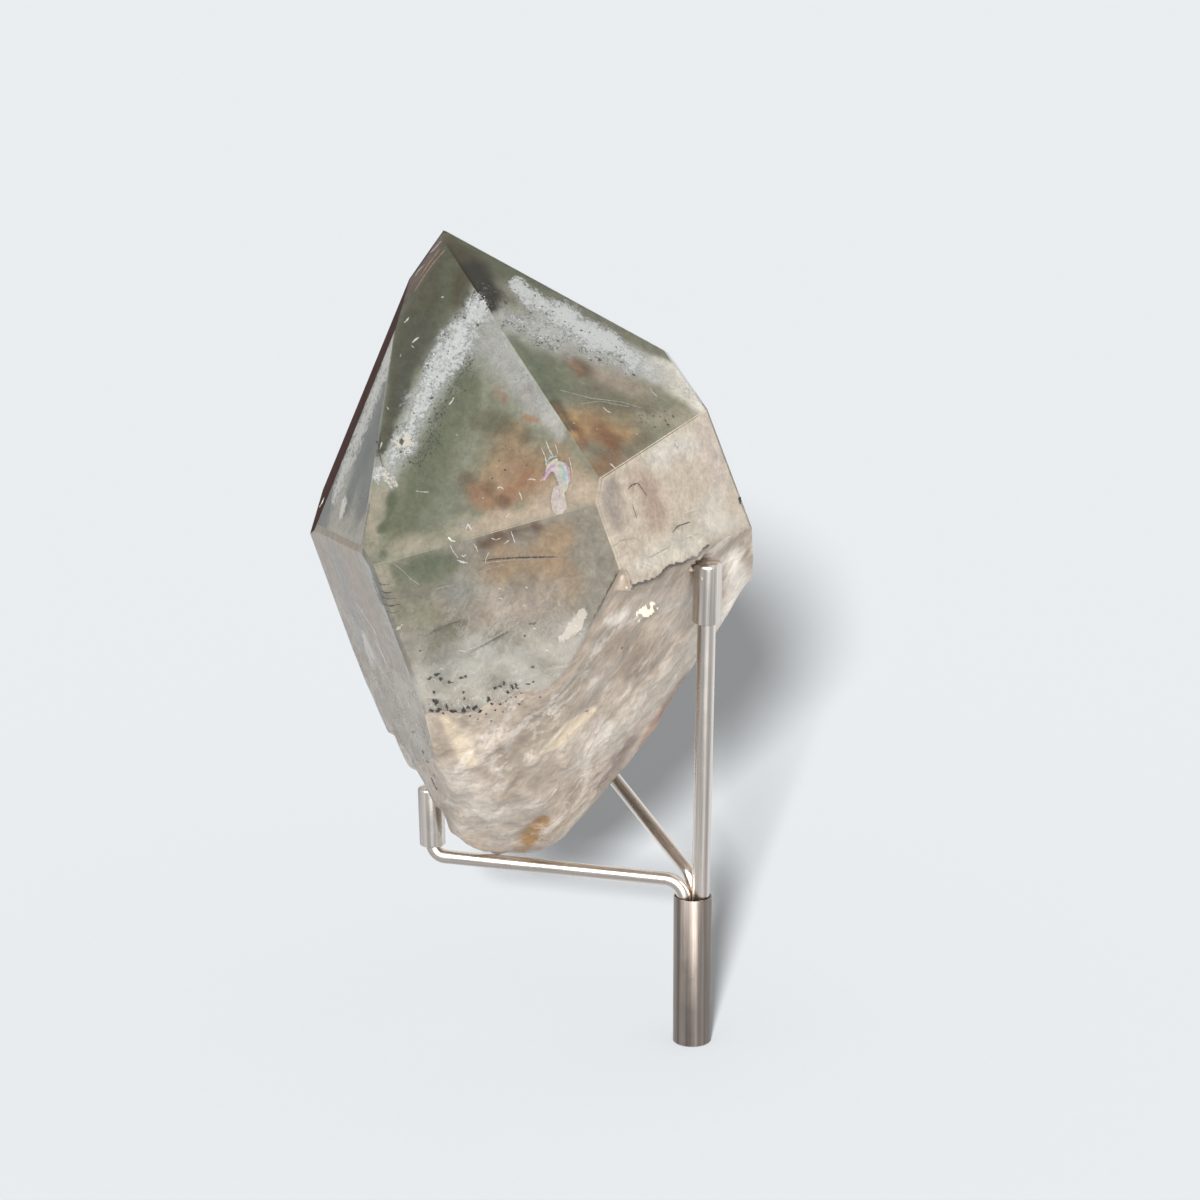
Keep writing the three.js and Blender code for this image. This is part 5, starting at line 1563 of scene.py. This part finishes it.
def tube(name, line, radius, material, sides=48):
    """A round bar along a line, with closed ends."""
    points, triangles, drawn = [], [], []
    ahead = (line[1] - line[0]).normalized()
    side = ahead.orthogonal().normalized()
    run = 0.0
    for i, point in enumerate(line):
        before = line[max(i - 1, 0)]
        after = line[min(i + 1, len(line) - 1)]
        ahead = (after - before).normalized()
        side = (side - side.dot(ahead) * ahead).normalized()
        other = ahead.cross(side)
        run += (point - before).length
        for k in range(sides):
            angle = 2 * math.pi * k / sides
            away = side * math.cos(angle) + other * math.sin(angle)
            points.append(point + away * radius)
            drawn.append((math.cos(angle) * radius, math.sin(angle) * radius, run * 0.012))
    rings = len(line)
    for i in range(rings - 1):
        for k in range(sides):
            a, b = i * sides + k, i * sides + (k + 1) % sides
            triangles.append((a, b, b + sides, a + sides))
    triangles.append(tuple(reversed(range(sides))))
    triangles.append(tuple(range((rings - 1) * sides, rings * sides)))
    return steel_piece(name, points, triangles, drawn, material)


def lathe(name, profile, foot, top, material, sides=72):
    """A round piece from a profile of (radius, height), standing on foot towards top."""
    up = (top - foot).normalized()
    turn = Vector((0, 0, 1)).rotation_difference(up).to_matrix()
    points, faces, drawn, rings = [], [], [], []
    for radius, height in profile:
        if radius < 1e-6:
            rings.append([len(points)])
            points.append(foot + turn @ Vector((0, 0, height)))
            drawn.append((0, 0, height * 0.012))
            continue
        ring = []
        for k in range(sides):
            angle = 2 * math.pi * k / sides
            ring.append(len(points))
            points.append(foot + turn @ Vector((math.cos(angle) * radius, math.sin(angle) * radius, height)))
            drawn.append((math.cos(angle) * radius, math.sin(angle) * radius, height * 0.012))
        rings.append(ring)
    for low, high in zip(rings, rings[1:]):
        for k in range(sides):
            n = (k + 1) % sides
            if len(low) == 1:
                faces.append((low[0], high[n], high[k]))
            elif len(high) == 1:
                faces.append((low[k], low[n], high[0]))
            else:
                faces.append((low[k], low[n], high[n], high[k]))
    return steel_piece(name, points, faces, drawn, material)


def steel_piece(name, points, faces, drawn, material):
    piece = make_object(name, [tuple(p) for p in points], faces, material)
    attribute = piece.data.attributes.new("drawn", "FLOAT_VECTOR", "POINT")
    attribute.data.foreach_set("vector", np.array(drawn).ravel())
    piece.data.set_sharp_from_angle(angle=math.radians(35))
    return piece


def quarter_round(radius, height, size, start, steps=7):
    return [
        (
            radius + size * math.cos(math.radians(start + 90 * i / steps)),
            height + size * math.sin(math.radians(start + 90 * i / steps)),
        )
        for i in range(steps + 1)
    ]


def sleeve(name, top, below, diameter, bore, material):
    """Cap of a rod: a rounded sleeve whose bore ends short of its top."""
    along = (top - below).normalized()
    edge = diameter / 2 - CAP_ROUND
    profile = [(0, BORE_DEPTH), (bore / 2 + 0.12, BORE_DEPTH), (bore / 2 + 0.12, 0)]
    profile += quarter_round(diameter / 2 - 0.45, 0.45, 0.45, -90)
    profile += quarter_round(edge, CAP_LENGTH - CAP_ROUND, CAP_ROUND, 0)
    profile += [(0, CAP_LENGTH)]
    return lathe(name, profile, top - along * CAP_LENGTH, top, material)


def stand():
    rod = steel_material("rod_steel", (0.672, 0.605, 0.549), 0.24, 5, 0.35)
    cap = steel_material("cap_steel", (0.627, 0.571, 0.521), 0.26, 4, 0.4)
    tube_steel = steel_material("socket_steel", (0.23, 0.195, 0.172), 0.32, 4, 0.6)
    routes = {
        "post": ([POST_FOOT], POST_TOP, POST_FOOT, (), 3.9),
        "front_arm": (FRONT_ARM, FRONT_TOP, FRONT_ARM[-1], BENDS, 3.1),
        "rear_arm": (REAR_ARM, REAR_TOP, REAR_ARM[-1], BENDS, 3.1),
    }
    pieces = []
    for node, (corners, top, below, bends, diameter) in routes.items():
        along = (top - below).normalized()
        end = top + along * (BORE_DEPTH - CAP_LENGTH - 0.3)
        piece = tube(node + "_bar", bent_line(corners + [end], bends), diameter / 2, rod)
        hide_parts(node)
        pieces.append(piece)
    for node, top, below, diameter, bore in (
        ("post_cap", POST_TOP, POST_FOOT, 6, 3.9),
        ("front_cap", FRONT_TOP, FRONT_ARM[-1], 5.7, 3.1),
        ("rear_cap", REAR_TOP, REAR_ARM[-1], 5.7, 3.1),
    ):
        piece = sleeve(node + "_sleeve", top, below, diameter, bore, cap)
        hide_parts(node)
        pieces.append(piece)
    outer, inner = 4.15, 3.8
    profile = [(0, 0), (outer - 0.25, 0), (outer, 0.25), (outer, 33.3), (outer - 0.06, 33.4)]
    profile += [(inner + 0.06, 33.4), (inner, 33.3), (inner, 27.4), (0, 27.4)]
    piece = lathe("socket_tube", profile, Vector((0, 0, 0)), Vector((0, 0, 1)), tube_steel)
    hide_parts("socket")
    pieces.append(piece)
    return pieces


# Stage
def stage():
    material, nodes, links, shader = new_material("paper_floor")
    grain = noise_node(nodes, links, 900, 2, 0.5, 0.0, scaled_coordinates(nodes, links))
    links.new(mix_colour(nodes, links, grain, (0.324, 0.338, 0.352), (0.332, 0.346, 0.360)), shader.inputs["Base Color"])
    shader.inputs["Roughness"].default_value = 0.9
    shader.inputs["Specular IOR Level"].default_value = 0.0
    bpy.ops.mesh.primitive_plane_add(size=60, location=(0, 0, 0))
    floor = bpy.context.object
    floor.name = "floor"
    floor.data.materials.append(material)
    return floor


def aim(thing, towards):
    direction = Vector(towards) - thing.location
    thing.rotation_euler = direction.to_track_quat("-Z", "Y").to_euler()


INCLUSIONS = ("garden_core", "garden_faces", "snow_veils", "dark_grains", "snow_grains", "slivers", "flecks")


def lights(floor, pieces):
    world = bpy.data.worlds.new("soft_room")
    bpy.context.scene.world = world
    world.use_nodes = True
    nodes, links = world.node_tree.nodes, world.node_tree.links
    coordinates = nodes.new("ShaderNodeTexCoord")
    split = nodes.new("ShaderNodeSeparateXYZ")
    links.new(coordinates.outputs["Generated"], split.inputs[0])
    height = range_node(nodes, links, split.outputs["Z"], 0.03, 0.5, 0.0, 1.0)
    front = range_node(nodes, links, split.outputs["Y"], -0.5, 0.2, 1.0, 0.0)
    above = mix_colour(nodes, links, front, (0.85, 0.835, 0.81), (0.85, 0.83, 0.80))
    colour = mix_colour(nodes, links, height, (0.807, 0.845, 0.871), above)
    links.new(colour, nodes["Background"].inputs["Color"])
    nodes["Background"].inputs["Strength"].default_value = 1.0

    stage_only = bpy.data.collections.new("stage_only")
    stage_only.objects.link(floor)
    object_only = bpy.data.collections.new("object_only")
    for piece in pieces:
        object_only.objects.link(piece)

    key = bpy.data.lights.new("key_softbox", "AREA")
    key.shape = "RECTANGLE"
    key.size, key.size_y = 1.0, 1.1
    key.energy = 20
    key.color = (1.0, 0.985, 0.96)
    key_object = bpy.data.objects.new("key_softbox", key)
    bpy.context.scene.collection.objects.link(key_object)
    key_object.location = (0.02, -1.12, 0.50)
    aim(key_object, (-0.03, 0, 0.1))
    key_object.light_linking.receiver_collection = object_only

    steel_only = bpy.data.collections.new("steel_only")
    for piece in pieces:
        if piece.name not in ("quartz_point", *INCLUSIONS):
            steel_only.objects.link(piece)
    top = bpy.data.lights.new("top_softbox", "AREA")
    top.shape = "SQUARE"
    top.size = 0.9
    top.energy = 15
    top_object = bpy.data.objects.new("top_softbox", top)
    bpy.context.scene.collection.objects.link(top_object)
    top_object.location = (-0.78, -0.98, 0.66)
    aim(top_object, (-0.02, 0, 0.06))
    top_object.light_linking.receiver_collection = steel_only

    sun = bpy.data.lights.new("shadow_light", "SUN")
    sun.energy = 15.9
    sun.angle = math.radians(6)
    sun_object = bpy.data.objects.new("shadow_light", sun)
    bpy.context.scene.collection.objects.link(sun_object)
    rise, turn = math.radians(19), math.radians(6)
    sun_object.location = (-math.sin(turn), -math.cos(turn), math.tan(rise))
    aim(sun_object, (0, 0, 0))
    sun_object.light_linking.receiver_collection = stage_only


def camera():
    data = bpy.data.cameras.new("camera")
    data.sensor_width = 36
    data.lens = 18 / math.tan(CAMERA_ANGLE / 2)
    data.clip_end = 100
    view = bpy.data.objects.new("camera", data)
    bpy.context.scene.collection.objects.link(view)
    back = Vector((0, -math.cos(CAMERA_RISE), math.sin(CAMERA_RISE)))
    view.location = (Vector(LOOK_AT) + back * CAMERA_DISTANCE) * MM
    aim(view, Vector(LOOK_AT) * MM)
    bpy.context.scene.camera = view


camera()
quartz = quartz_material()
body = crystal_body(quartz)
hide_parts("crystal")
shell = BVHTree.FromObject(body, bpy.context.evaluated_depsgraph_get())
chlorite = plain_material("chlorite", (0.10, 0.112, 0.078), 0.8, 900)
snow = plain_material("snow", (0.88, 0.89, 0.9), 0.7, 900, 0.1)
garden = core_material()
inside = [
    garden_core(garden, shell),
    garden_faces(garden, shell),
    snow_veils(veil_material(), shell),
    grains("dark_grains", 4200, "speck", chlorite, 0.12, (0.5, 1.1), shell),
    grains("snow_grains", 2400, "veil", snow, 0.09, (0.4, 0.9), shell, 0.55),
    slivers(sliver_material()),
    flecks(plain_material("fleck", (0.02, 0.017, 0.014), 0.6, 1200), shell),
]
pieces = [body] + inside + stand()
for piece in pieces:
    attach(piece, "root")
lights(stage(), pieces)

scene = bpy.context.scene
scene.view_settings.view_transform = "Standard"
scene.cycles.max_bounces = 12
scene.cycles.transmission_bounces = 10
scene.cycles.glossy_bounces = 8
scene.cycles.diffuse_bounces = 3
scene.cycles.transparent_max_bounces = 24
scene.cycles.sample_clamp_indirect = 4
